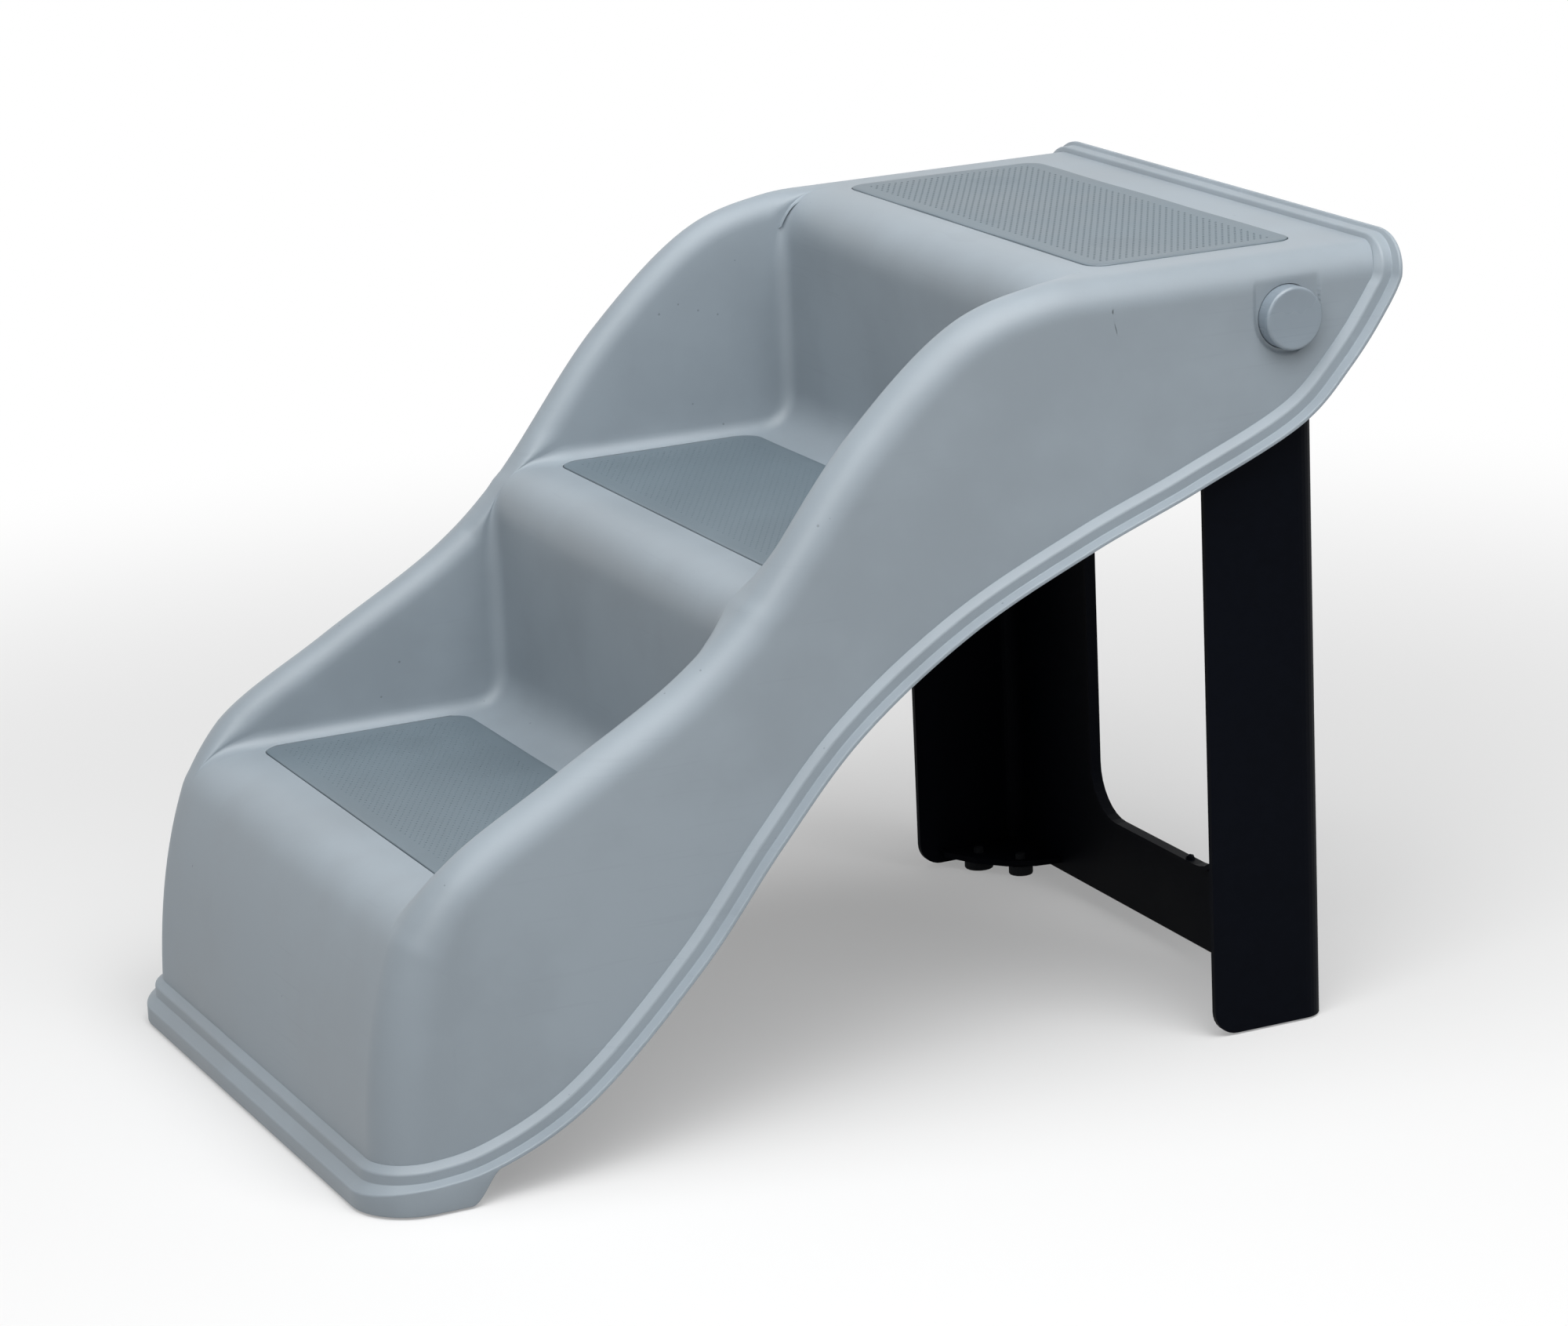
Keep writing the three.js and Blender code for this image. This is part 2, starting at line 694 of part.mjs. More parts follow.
function roundCutter(radius, low, high, side) {
  const geometry = turnedAcross([[0, low], [radius, low], [radius, high], [0, high]]);
  return solidFrom(side > 0 ? geometry : mirrored(geometry));
}

// The flat pocket round a button: straight sides, a round bottom, open to the rounded deck edge above.
function pocketCutter(side) {
  const shape = new THREE.Shape();
  shape.moveTo(pivotPlace - pocketHalfWidth, deckHeight + overrun);
  shape.lineTo(pivotPlace - pocketHalfWidth, pivotHeight);
  shape.absarc(pivotPlace, pivotHeight, pocketHalfWidth, Math.PI, 2 * Math.PI);
  shape.lineTo(pivotPlace + pocketHalfWidth, deckHeight + overrun);
  const floor = pocketFloor();
  const [low, high] = side > 0 ? [floor, floor + 2 * overrun] : [-floor - 2 * overrun, -floor];
  return solidFrom(prismAcross(shape, low, high, 2 * arcSteps));
}

function pocketFloor() {
  return wallHalfWidthAt(point(pivotPlace, pivotHeight)) - pocketDepth;
}

function matOutline(step, grow) {
  const front = riserPlaces[step] + matSetback;
  const half = matWidth / 2 + grow;
  return roundedRectangle(front - grow, -half, front + matLength + grow, half, matCornerRadius + grow);
}

function bodyShell() {
  let solid = shellSkin().add(flange()).add(frontSkirt());
  [-ribSpacing, 0, ribSpacing].forEach((y) => {
    solid = solid.add(stairRib(y));
  });
  [-1, 1].forEach((side) => {
    solid = solid.add(bearingRib(side)).add(frontGusset(side));
    solid = solid.subtract(pocketCutter(side));
    const buttonHole = buttonRadius + holeClearance;
    const screwHole = screwRadius + holeClearance;
    solid = solid.subtract(roundCutter(buttonHole, housingReach, wallHalfWidth + overrun, side));
    solid = solid.subtract(roundCutter(screwHole, treadHalfWidth - overrun, bearingFace + overrun, side));
  });
  treadHeights.forEach((height, step) => {
    const recess = prismUp(matOutline(step, recessClearance), height - recessDepth, height + overrun);
    solid = solid.subtract(solidFrom(recess));
  });
  return solid;
}

function treadMat(step) {
  const low = treadHeights[step] - recessDepth + seatGap;
  return prismUp(matOutline(step, 0), low, low + matThickness);
}

// The leg frame in plan: two side plates with large round corners into the rear web.
function legPlan(inset) {
  const side = legHalfWidth - inset;
  const rear = legRearPlace - inset;
  const radius = legCornerRadius - inset;
  const shape = new THREE.Shape();
  const front = inset > 0 ? legFrontPlace - overrun : legFrontPlace;
  shape.moveTo(front, -side);
  shape.lineTo(rear - radius, -side);
  shape.absarc(rear - radius, -side + radius, radius, -Math.PI / 2, 0);
  shape.lineTo(rear, side - radius);
  shape.absarc(rear - radius, side - radius, radius, 0, Math.PI / 2);
  shape.lineTo(front, side);
  return shape;
}

// The side plate's outline: a round toe at the floor and a shoulder that clears the deck when folded.
function plateOutline() {
  const shape = new THREE.Shape();
  const rear = legRearPlace + overrun;
  shape.moveTo(legFrontPlace + legToeRadius, legFloorGap);
  shape.lineTo(rear, legFloorGap);
  shape.lineTo(rear, pivotHeight - plateTopDrop);
  shape.lineTo(pivotPlace - neckFront, pivotHeight - plateTopDrop);
  shape.lineTo(legFrontPlace, pivotHeight - plateShoulderDrop);
  shape.lineTo(legFrontPlace, legFloorGap + legToeRadius);
  const toe = point(legFrontPlace + legToeRadius, legFloorGap + legToeRadius);
  shape.absarc(toe.x, toe.y, legToeRadius, Math.PI, Math.PI * 1.5);
  return shape;
}

// A hub: the neck that rises from the plate, and a ring whose arc slots let the button's lugs pass.
function legHub() {
  const neckRear = legRearPlace - legPlate / 2;
  const neck = new THREE.Shape();
  neck.moveTo(pivotPlace - neckFront, pivotHeight - neckBottom);
  neck.lineTo(neckRear, pivotHeight - neckBottom);
  neck.lineTo(neckRear, pivotHeight - neckTop);
  neck.lineTo(pivotPlace - neckFront, pivotHeight - neckTop);
  const core = new THREE.Shape();
  core.moveTo(pivotPlace - neckFront + legPlate, pivotHeight - neckBottom + legPlate);
  core.lineTo(neckRear - legPlate, pivotHeight - neckBottom + legPlate);
  core.lineTo(neckRear - legPlate, pivotHeight - hubRadius - legPlate);
  core.lineTo(pivotPlace - neckFront + legPlate, pivotHeight - hubRadius - legPlate);
  const rearRound = solidFrom(prismUp(legPlan(0), 0, pivotHeight));
  let solid = solidFrom(prismAcross(neck, hubFace, legHalfWidth)).intersect(rearRound);
  solid = solid.subtract(solidFrom(prismAcross(core, hubFace - overrun, legHalfWidth - legPlate)));
  const ring = turnedAcross([[0, hubFace], [hubRadius, hubFace], [hubRadius, hubEnd], [0, hubEnd]]);
  solid = solid.add(solidFrom(ring));
  const bore = housingRadius + hubClearance;
  solid = solid.subtract(roundCutter(bore, hubFace - overrun, legHalfWidth + overrun, 1));
  const slotAngle = foldAngle + 2 * Math.asin((lugWidth / 2 + holeClearance) / housingRadius);
  const halfLug = slotAngle - foldAngle;
  for (let i = 0; i < lugCount; i += 1) {
    const start = lugAngle(i) - halfLug / 2;
    const shape = new THREE.Shape();
    const radius = lugReach + hubClearance;
    shape.moveTo(pivotPlace, pivotHeight);
    shape.lineTo(pivotPlace + radius * Math.cos(start), pivotHeight + radius * Math.sin(start));
    shape.absarc(pivotPlace, pivotHeight, radius, start, start + slotAngle);
    const cutter = prismAcross(shape, hubFace - overrun, hubEnd - hubClearance);
    solid = solid.subtract(solidFrom(cutter));
  }
  return geometryFrom(solid);
}

function lugAngle(index) {
  return Math.PI / 2 + (index * 2 * Math.PI) / lugCount;
}

// The shelf in a rear corner of the leg frame that carries its foot peg and pad.
function legGusset(side) {
  const edge = legHalfWidth - legPlate / 2;
  const rear = legRearPlace - legPlate / 2;
  const inner = legHalfWidth - legGussetInset;
  const shape = new THREE.Shape();
  shape.moveTo(legFrontPlace + legToeRadius, side * edge);
  shape.lineTo(legFrontPlace + legToeRadius, side * (edge - 2 * legPlate));
  shape.quadraticCurveTo(pegPlace - 2 * pegRadius, side * inner, rear, side * inner);
  shape.lineTo(rear, side * (edge - legCornerRadius));
  shape.quadraticCurveTo(rear, side * edge, rear - legCornerRadius, side * edge);
  const solid = solidFrom(prismUp(shape, gussetHeight, gussetHeight + legPlate));
  const top = gussetHeight + legPlate;
  return solid.subtract(uprightHole(pegPlace, side * pegSide, top))
    .subtract(uprightHole(padPlace, side * padSide, top));
}

function legFrame() {
  const frame = solidFrom(prismUp(legPlan(0), 0, pivotHeight))
    .subtract(solidFrom(prismUp(legPlan(legPlate), -overrun, pivotHeight + overrun)));
  const across = legHalfWidth + overrun;
  let solid = frame.intersect(solidFrom(prismAcross(plateOutline(), -across, across)));
  const webLimit = legHalfWidth - 2 * legPlate;
  const above = new THREE.Shape();
  above.moveTo(legRearPlace - legCornerRadius, legWebTop);
  above.lineTo(legRearPlace + overrun, legWebTop);
  above.lineTo(legRearPlace + overrun, pivotHeight);
  above.lineTo(legRearPlace - legCornerRadius, pivotHeight);
  solid = solid.subtract(solidFrom(prismAcross(above, -webLimit, webLimit)));
  const [left, right] = [-windowHalfWidth, windowHalfWidth];
  const windowShape = roundedRectangle(left, windowSill, right, windowTop, windowRadius);
  const rear = legRearPlace + overrun;
  solid = solid.subtract(solidFrom(prismAlong(windowShape, legRearPlace - 2 * legPlate, rear)));
  const grow = braceLip;
  const frameShape = roundedRectangle(
    left - grow, windowSill - grow, right + grow, windowTop + grow, windowRadius + grow,
  );
  frameShape.holes.push(windowShape);
  const collar = solidFrom(prismAlong(frameShape, legRearPlace - 2 * legPlate, legRearPlace - legPlate / 2));
  solid = solid.add(collar);
  const nub = solidFrom(new THREE.SphereGeometry(catchNubSize, 8, 4)
    .translate(legRearPlace - legPlate, -catchNubPlace, windowSill));
  const hub = legHub();
  solid = solid.add(nub).add(solidFrom(hub)).add(solidFrom(mirrored(hub)));
  [-1, 1].forEach((side) => {
    solid = solid.add(legGusset(side));
  });
  return solid;
}

// The far side's pivot pieces; the near side's are their mirror images.
function pivotHousing() {
  const inner = housingRadius - housingWall;
  const base = washerFace + shellWall;
  const boss = base + screwBossHeight;
  const cup = turnedAcross([
    [screwRadius, washerFace], [housingRadius, washerFace], [housingRadius, housingReach],
    [inner, housingReach], [inner, base], [screwBossRadius, base],
    [screwBossRadius, boss], [screwRadius, boss],
  ]);
  let solid = solidFrom(cup);
  for (let i = 0; i < lugCount; i += 1) {
    const slot = lugBlock(i, lugWidth / 2 + holeClearance, lugReach + overrun);
    const [low, high] = [base + seatGap, lugFace + lugLength + holeClearance];
    solid = solid.subtract(solidFrom(prismAcross(slot, low, high)));
  }
  return geometryFrom(solid);
}

// A lug's outline, from inside the button's wall out to its reach.
function lugBlock(index, halfWidth, reach) {
  const angle = lugAngle(index);
  const root = buttonRadius - buttonWall / 2;
  const turn = (along, across) => point(
    pivotPlace + along * Math.cos(angle) - across * Math.sin(angle),
    pivotHeight + along * Math.sin(angle) + across * Math.cos(angle),
  );
  return new THREE.Shape([
    turn(root, -halfWidth), turn(reach, -halfWidth), turn(reach, halfWidth), turn(root, halfWidth),
  ]);
}

function lockButton() {
  const face = pocketFloor() + buttonProud;
  const inner = buttonRadius - buttonWall;
  const edge = buttonEdgeRadius;
  const rounding = [1, 2, 3].map((i) => {
    const turn = (i / 3) * Math.PI / 2;
    return [buttonRadius - edge + edge * Math.cos(turn), face - edge + edge * Math.sin(turn)];
  });
  const profile = [
    [0, face - buttonWall], [inner, face - buttonWall], [inner, lugFace],
    [buttonRadius, lugFace], [buttonRadius, face - edge], ...rounding, [0, face],
  ];
  let solid = solidFrom(turnedAcross(profile));
  for (let i = 0; i < lugCount; i += 1) {
    const lug = lugBlock(i, lugWidth / 2, lugReach);
    solid = solid.add(solidFrom(prismAcross(lug, lugFace, lugFace + lugLength)));
  }
  return geometryFrom(solid);
}

// A coil of round wire between the housing's base and the button's face.
function buttonSpring() {
  const low = washerFace + shellWall + springWire + seatGap;
  const high = pocketFloor() + buttonProud - buttonWall - springWire - seatGap;
  class Coil extends THREE.Curve {
    getPoint(share) {
      const turn = share * springTurns * 2 * Math.PI;
      return new THREE.Vector3(
        pivotPlace + springRadius * Math.cos(turn),
        between(low, high, share),
        pivotHeight + springRadius * Math.sin(turn),
      );
    }
  }
  const wire = new THREE.Shape();
  const wireSides = 5;
  for (let i = 0; i < wireSides; i += 1) {
    const turn = (i / wireSides) * 2 * Math.PI;
    const [x, y] = [springWire * Math.cos(turn), springWire * Math.sin(turn)];
    if (i === 0) wire.moveTo(x, y);
    else wire.lineTo(x, y);
  }
  const steps = springTurns * 2 * arcSteps;
  return new THREE.ExtrudeGeometry(wire, { steps, extrudePath: new Coil(), curveSegments: 1 });
}

function hubWasher() {
  const inner = housingRadius + holeClearance;
  const outer = hubRadius - hubClearance;
  const face = washerFace + shellWall;
  return turnedAcross([[inner, washerFace], [outer, washerFace], [outer, face], [inner, face]]);
}

function screwWasher() {
  const face = treadHalfWidth - seatGap;
  const hole = screwRadius + holeClearance;
  const low = face - washerThickness;
  const profile = [[hole, low], [washerRadius, low], [washerRadius, face], [hole, face]];
  return turnedAcross(profile, pivotPlace, pivotHeight, screwSides);
}

function pivotScrew() {
  const seat = treadHalfWidth - 2 * seatGap - washerThickness;
  const shank = screwRadius - seatGap;
  const top = seat - screwHeadHeight;
  return turnedAcross([
    [0, top], [screwHeadRadius * screwHeadTopShare, top], [screwHeadRadius, seat - screwHeadHeight / 2],
    [screwHeadRadius, seat], [shank, seat], [shank, seat + screwLength], [0, seat + screwLength],
  ], pivotPlace, pivotHeight, screwSides);
}

// A rubber foot: a flat round base with a stem that presses up through its shelf.
function foot(radius, place, side) {
  const base = gussetHeight - seatGap;
  const top = gussetHeight + gussetThickness + legPlate;
  return turnedUp([
    [0, 0], [radius - seatGap, 0], [radius, seatGap * 2], [radius, base],
    [footStemRadius, base], [footStemRadius, top], [0, top],
  ], place, side, footSides);
}

// Colours and finishes
const shellGrey = new THREE.MeshStandardMaterial({ color: 0x8e959c, roughness: 0.55, metalness: 0 });
const buttonGrey = new THREE.MeshStandardMaterial({ color: 0x8a959e, roughness: 0.3, metalness: 0 });
const matGrey = new THREE.MeshStandardMaterial({ color: 0x727f89, roughness: 0.8, metalness: 0 });
const legBlack = new THREE.MeshStandardMaterial({ color: 0x0b0e15, roughness: 0.5, metalness: 0 });
const rubberBlack = new THREE.MeshStandardMaterial({ color: 0x08090b, roughness: 0.85, metalness: 0 });
const innerPlastic = new THREE.MeshStandardMaterial({ color: 0x2a2c30, roughness: 0.5, metalness: 0 });
const steel = new THREE.MeshStandardMaterial({ color: 0xb4b8bc, roughness: 0.3, metalness: 1 });

const petStairs = new THREE.Group();
petStairs.position.x = -(backPlace + apronFootPlace - lipOut) / 2;

function addPiece(name, geometry, material) {
  const mesh = new THREE.Mesh(geometry, material);
  mesh.name = name;
  petStairs.add(mesh);
}

function addBothSides(name, geometry, material) {
  addPiece(`near_${name}`, mirrored(geometry), material);
  addPiece(`far_${name}`, geometry, material);
}

addPiece('body_shell', geometryFrom(bodyShell()), shellGrey);
['lower', 'middle', 'upper'].forEach((name, step) => addPiece(`${name}_tread_mat`, treadMat(step), matGrey));
addPiece('leg_frame', geometryFrom(legFrame()), legBlack);
addBothSides('pivot_housing', pivotHousing(), innerPlastic);
addBothSides('lock_button', lockButton(), buttonGrey);
addBothSides('button_spring', buttonSpring(), steel);
addBothSides('hub_washer', hubWasher(), innerPlastic);
addBothSides('screw_washer', screwWasher(), steel);
addBothSides('pivot_screw', pivotScrew(), steel);
addBothSides('leg_foot_peg', foot(pegRadius, pegPlace, pegSide), rubberBlack);
addBothSides('leg_foot_pad', foot(padRadius, padPlace, padSide), rubberBlack);
addBothSides('front_foot', foot(frontFootRadius, frontFootPlace, frontFootSide), rubberBlack);

export default petStairs;
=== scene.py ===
"""Folding pet stairs: fine meshes, finishes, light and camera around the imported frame.

Metres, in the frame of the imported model: X runs from the low front to the high back, Y across the
stairs and Z up. Side outlines are drawn in X and Z, measured from the front as the maker would.
"""

import logging
import math
from dataclasses import astuple, dataclass, field
from enum import Enum
from typing import Callable, ClassVar, Sequence

import bmesh
import bpy
import numpy as np
from mathutils import Matrix, Vector
from mathutils.geometry import delaunay_2d_cdt


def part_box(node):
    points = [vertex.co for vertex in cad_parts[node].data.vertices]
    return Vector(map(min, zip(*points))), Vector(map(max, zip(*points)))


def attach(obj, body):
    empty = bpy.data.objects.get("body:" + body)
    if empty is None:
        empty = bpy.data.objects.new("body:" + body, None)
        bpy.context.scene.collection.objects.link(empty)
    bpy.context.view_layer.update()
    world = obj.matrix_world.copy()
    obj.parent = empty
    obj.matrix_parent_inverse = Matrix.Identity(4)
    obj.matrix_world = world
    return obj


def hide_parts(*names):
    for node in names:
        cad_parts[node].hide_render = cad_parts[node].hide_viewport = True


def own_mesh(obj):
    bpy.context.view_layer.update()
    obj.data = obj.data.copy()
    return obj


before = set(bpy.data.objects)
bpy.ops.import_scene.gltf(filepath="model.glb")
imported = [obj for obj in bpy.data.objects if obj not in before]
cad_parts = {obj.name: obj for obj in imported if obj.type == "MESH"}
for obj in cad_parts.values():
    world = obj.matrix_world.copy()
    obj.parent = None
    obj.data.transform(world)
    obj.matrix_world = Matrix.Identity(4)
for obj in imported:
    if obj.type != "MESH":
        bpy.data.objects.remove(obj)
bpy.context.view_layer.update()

LOG = logging.getLogger("pet_stairs")
MM = 0.001
SMOOTH_ANGLE = math.radians(50)
QUARTER = math.pi / 2
CURVE_STEPS = 60
EDGE_STEPS = 200
ROUND_SIDES = 96
NO_LENGTH = 1e-9
NO_AREA = 1e-12
SAME_PLACE = 0.001 * MM

Pair = tuple[float, float]
Triple = tuple[float, float, float]
Colour = Triple
Grid = np.ndarray
Solid = tuple[Grid, list[list[int]]]
Piece = bpy.types.Object
Material = bpy.types.Material
Tree = bpy.types.NodeTree
Node = bpy.types.Node
Socket = bpy.types.NodeSocket
Inputs = dict[str | int, object]


class Side(Enum):
    """A side of the stairs: near is the camera's side."""

    NEAR = -1
    FAR = 1


class Joining(Enum):
    """How one solid is joined to another."""

    ADD = "UNION"
    CUT = "DIFFERENCE"


def srgb(red: int, green: int, blue: int) -> Colour:
    """Turns a colour as seen on a screen into linear light.

    Args:
        red: Red, 0 to 255.
        green: Green, 0 to 255.
        blue: Blue, 0 to 255.

    Returns:
        The linear colour.
    """
    def linear(value: int) -> float:
        """One channel in linear light."""
        share = value / 255
        return share / 12.92 if share <= 0.04045 else ((share + 0.055) / 1.055) ** 2.4

    return linear(red), linear(green), linear(blue)


# Lines in the XZ plane


@dataclass
class Path:
    """A smooth line in the XZ plane, walked by shares of its length."""

    points: Grid
    run: Grid = field(init=False)
    slopes: Grid = field(init=False)

    def __post_init__(self) -> None:
        """Measures the line and its direction at each point."""
        steps = np.linalg.norm(np.diff(self.points, axis=0), axis=1)
        keep = np.concatenate([[True], steps > NO_LENGTH])
        self.points = self.points[keep]
        self.run = np.concatenate([[0.0], np.cumsum(steps[steps > NO_LENGTH])])
        slopes = np.gradient(self.points, self.run, axis=0)
        self.slopes = slopes / np.linalg.norm(slopes, axis=1, keepdims=True)

    @property
    def length(self) -> float:
        """The line's length."""
        return float(self.run[-1])

    def _read(self, values: Grid, shares: Grid) -> Grid:
        """Reads values along the line at shares of its length."""
        places = np.atleast_1d(shares) * self.run[-1]
        return np.column_stack([np.interp(places, self.run, values[:, axis]) for axis in (0, 1)])

    def at(self, shares: Grid) -> Grid:
        """Points at shares of the length."""
        return self._read(self.points, shares)

    def along(self, shares: Grid) -> Grid:
        """Directions at shares of the length."""
        return self._read(self.slopes, shares)


def straight(start: Sequence[float], end: Sequence[float]) -> Path:
    """A straight line between two points."""
    return Path(np.array([start, end], float))


def bend(start: Sequence[float], corner: Sequence[float], end: Sequence[float]) -> Path:
    """A quarter bend that leaves one point towards a corner and ends at another point."""
    share = np.linspace(0, 1, CURVE_STEPS)[:, None]
    first, middle, last = (np.array(point, float) for point in (start, corner, end))
    return Path((1 - share) ** 2 * first + 2 * share * (1 - share) * middle + share**2 * last)


def through_points(points: Sequence[Sequence[float]]) -> Path:
    """A smooth line through points; the first and last only steer its ends.

    Args:
        points: The points, in X and Z.

    Returns:
        The line from the second point to the second last.
    """
    knots = np.array(points, float)
    pieces = []
    for index in range(1, len(knots) - 2):
        p0, p1, p2, p3 = knots[index - 1 : index + 3]
        d0, d1, d2 = (math.sqrt(np.linalg.norm(b - a)) for a, b in ((p0, p1), (p1, p2), (p2, p3)))
        t1 = ((p1 - p0) / d0 - (p2 - p0) / (d0 + d1) + (p2 - p1) / d1) * d1
        t2 = ((p2 - p1) / d1 - (p3 - p1) / (d1 + d2) + (p3 - p2) / d2) * d1
        t = np.linspace(0, 1, CURVE_STEPS)[:, None]
        third = 2 * p1 - 2 * p2 + t1 + t2
        second = -3 * p1 + 3 * p2 - 2 * t1 - t2
        pieces.append(p1 + t * t1 + t**2 * second + t**3 * third)
    return Path(np.vstack(pieces))


def upward(directions: Grid) -> Grid:
    """The directions turned a quarter turn, from along the stair to up from it."""
    return np.column_stack([-directions[:, 1], directions[:, 0]])


def smooth(share: Grid) -> Grid:
    """A soft step from 0 to 1."""
    share = np.clip(share, 0, 1)
    return share * share * (3 - 2 * share)


def corner_share(turn: float) -> float:
    """A soft step from 0 to 1 over a quarter turn."""
    return float(smooth(np.array(turn / QUARTER)))


def quads(count: int, width: int) -> Grid:
    """Corner numbers of the cells of a grid of points.

    Args:
        count: How many rows of points.
        width: How many points a row has.

    Returns:
        Four corner numbers for each cell.
    """
    cell = np.arange(count * width).reshape(count, width)
    return np.stack([cell[:-1, :-1], cell[1:, :-1], cell[1:, 1:], cell[:-1, 1:]], axis=-1).reshape(-1, 4)


# Meshes


def mesh_object(name: str, vertices: Grid, faces: Sequence[Sequence[int]]) -> Piece:
    """Makes a smooth-shaded mesh whose sharp edges stay sharp.

    Args:
        name: The object's name.
        vertices: Corner places.
        faces: Corner numbers of each face.

    Returns:
        The new object.
    """
    mesh = bpy.data.meshes.new(name)
    mesh.from_pydata(np.asarray(vertices).tolist(), [], [list(map(int, face)) for face in faces])
    mesh.update()
    piece = bpy.data.objects.new(name, mesh)
    bpy.context.scene.collection.objects.link(piece)
    soften(piece)
    return piece


def soften(piece: Piece) -> None:
    """Shades a mesh smooth and marks its sharp edges."""
    piece.data.shade_smooth()
    piece.data.set_sharp_from_angle(angle=SMOOTH_ANGLE)


def ring_faces(upper: Grid, lower: Grid) -> Grid:
    """Faces between two rings of corner numbers."""
    return np.stack([upper, np.roll(upper, -1), np.roll(lower, -1), lower], axis=1)


def closed_sweep(rings: Grid) -> Solid:
    """Faces between rings of points that close on themselves both ways.

    Args:
        rings: An array of rings, points and coordinates.

    Returns:
        The points and the faces.
    """
    cell = np.arange(rings.shape[0] * rings.shape[1]).reshape(rings.shape[:2])
    after = np.roll(cell, -1, axis=0)
    faces = np.stack([cell, after, np.roll(after, -1, axis=1), np.roll(cell, -1, axis=1)], axis=-1)
    return rings.reshape(-1, 3), faces.reshape(-1, 4).tolist()


def capped_sweep(rings: Grid) -> Solid:
    """Faces between rings of points, closed at the first and the last ring.

    Args:
        rings: An array of rings, points and coordinates.

    Returns:
        The points and the faces.
    """
    points, faces = closed_sweep(rings)
    count, sides, _ = rings.shape
    faces = faces[: (count - 1) * sides]
    faces.append(list(range(sides)))
    faces.append([(count - 1) * sides + side for side in range(sides)][::-1])
    return points, faces


def prism(outline: Grid, low: float, high: float, axis: int) -> Solid:
    """Carries a flat outline along an axis.

    Args:
        outline: Points in the two other axes, in XYZ order.
        low: The start along the axis.
        high: The end along the axis.
        axis: 0, 1 or 2 for X, Y or Z.

    Returns:
        The points and the faces.
    """
    rings = np.stack([np.insert(outline, axis, place, axis=1) for place in (low, high)])
    return capped_sweep(rings)


def turned(profile: Sequence[Pair], centre: Sequence[float], sides: int) -> Solid:
    """Turns a profile about an axis across the stairs; it starts and ends on the axis.

    Args:
        profile: Radius and Y of each point.
        centre: X and Z of the axis.
        sides: How many sides the turn has.

    Returns:
        The points and the faces.
    """
    angles = np.arange(sides) * 2 * math.pi / sides
    radii, places = np.array(profile[1:-1]).T
    rings = np.stack([
        centre[0] + radii[:, None] * np.cos(angles),
        np.repeat(places[:, None], sides, axis=1),
        centre[1] + radii[:, None] * np.sin(angles),
    ], axis=2)
    points, faces = capped_sweep(rings)
    faces = faces[:-2]
    first, last = len(points), len(points) + 1
    points = np.vstack([points, [centre[0], profile[0][1], centre[1]], [centre[0], profile[-1][1], centre[1]]])
    top = (len(radii) - 1) * sides
    for side in range(sides):
        nxt = (side + 1) % sides
        faces.append([first, side, nxt])
        faces.append([last, top + nxt, top + side])
    return points, faces


def rounded_rectangle(low: Sequence[float], high: Sequence[float], radius: float, steps: int = 10) -> Grid:
    """The outline of a rectangle with round corners.

    Args:
        low: Its lowest corner.
        high: Its highest corner.
        radius: The corners' radius.
        steps: How many steps round each corner.

    Returns:
        The outline's points, counter-clockwise.
    """
    points = []
    corners = [(high[0], high[1], 0), (low[0], high[1], 1), (low[0], low[1], 2), (high[0], low[1], 3)]
    for x, y, quarter in corners:
        centre = (x - math.copysign(radius, x - low[0] - NO_LENGTH), y - math.copysign(radius, y - low[1] - NO_LENGTH))
        for step in range(steps + 1):
            turn = (quarter + step / steps) * QUARTER
            points.append((centre[0] + radius * math.cos(turn), centre[1] + radius * math.sin(turn)))
    return np.array(points)


def face_outwards(piece: Piece) -> None:
    """Turns a closed mesh right side out if it is inside out.

    Args:
        piece: The closed mesh.
    """
    mesh = piece.data
    mesh.calc_loop_triangles()
    corners = np.empty(len(mesh.loop_triangles) * 3, np.int32)
    mesh.loop_triangles.foreach_get("vertices", corners)
    places = np.empty(len(mesh.vertices) * 3)
    mesh.vertices.foreach_get("co", places)
    a, b, c = places.reshape(-1, 3)[corners.reshape(-1, 3)].transpose(1, 0, 2)
    if np.einsum("ij,ij->", a, np.cross(b, c)) < 0:
        mesh.flip_normals()


def solid_object(name: str, solid: Solid) -> Piece:
    """Makes an object of a closed mesh, right side out."""
    piece = mesh_object(name, *solid)
    face_outwards(piece)
    return piece


def joined(base: Piece, operand: Piece, joining: Joining) -> None:
    """Adds a solid to another or cuts it away, and removes it from the scene.

    Args:
        base: The solid that is kept.
        operand: The solid that is added or cut away.
        joining: Which of the two.
    """
    face_outwards(operand)
    modifier = base.modifiers.new("joining", "BOOLEAN")
    modifier.operation = joining.value
    modifier.solver = "MANIFOLD"
    modifier.object = operand
    bpy.context.view_layer.update()
    depsgraph = bpy.context.evaluated_depsgraph_get()
    made = bpy.data.meshes.new_from_object(base.evaluated_get(depsgraph))
    if len(made.vertices) in (0, len(base.data.vertices)):
        raise RuntimeError(f"joining {operand.name} to {base.name} changed nothing")
    base.modifiers.clear()
    base.data = made
    bpy.data.objects.remove(operand)


# The moulded shell


@dataclass
class Stretch:
    """A stretch of the walked surface, and how far along the rim and the lower edge it ends."""

    floor: Path
    rim_end: float | None
    edge_end: float
    spacing: float


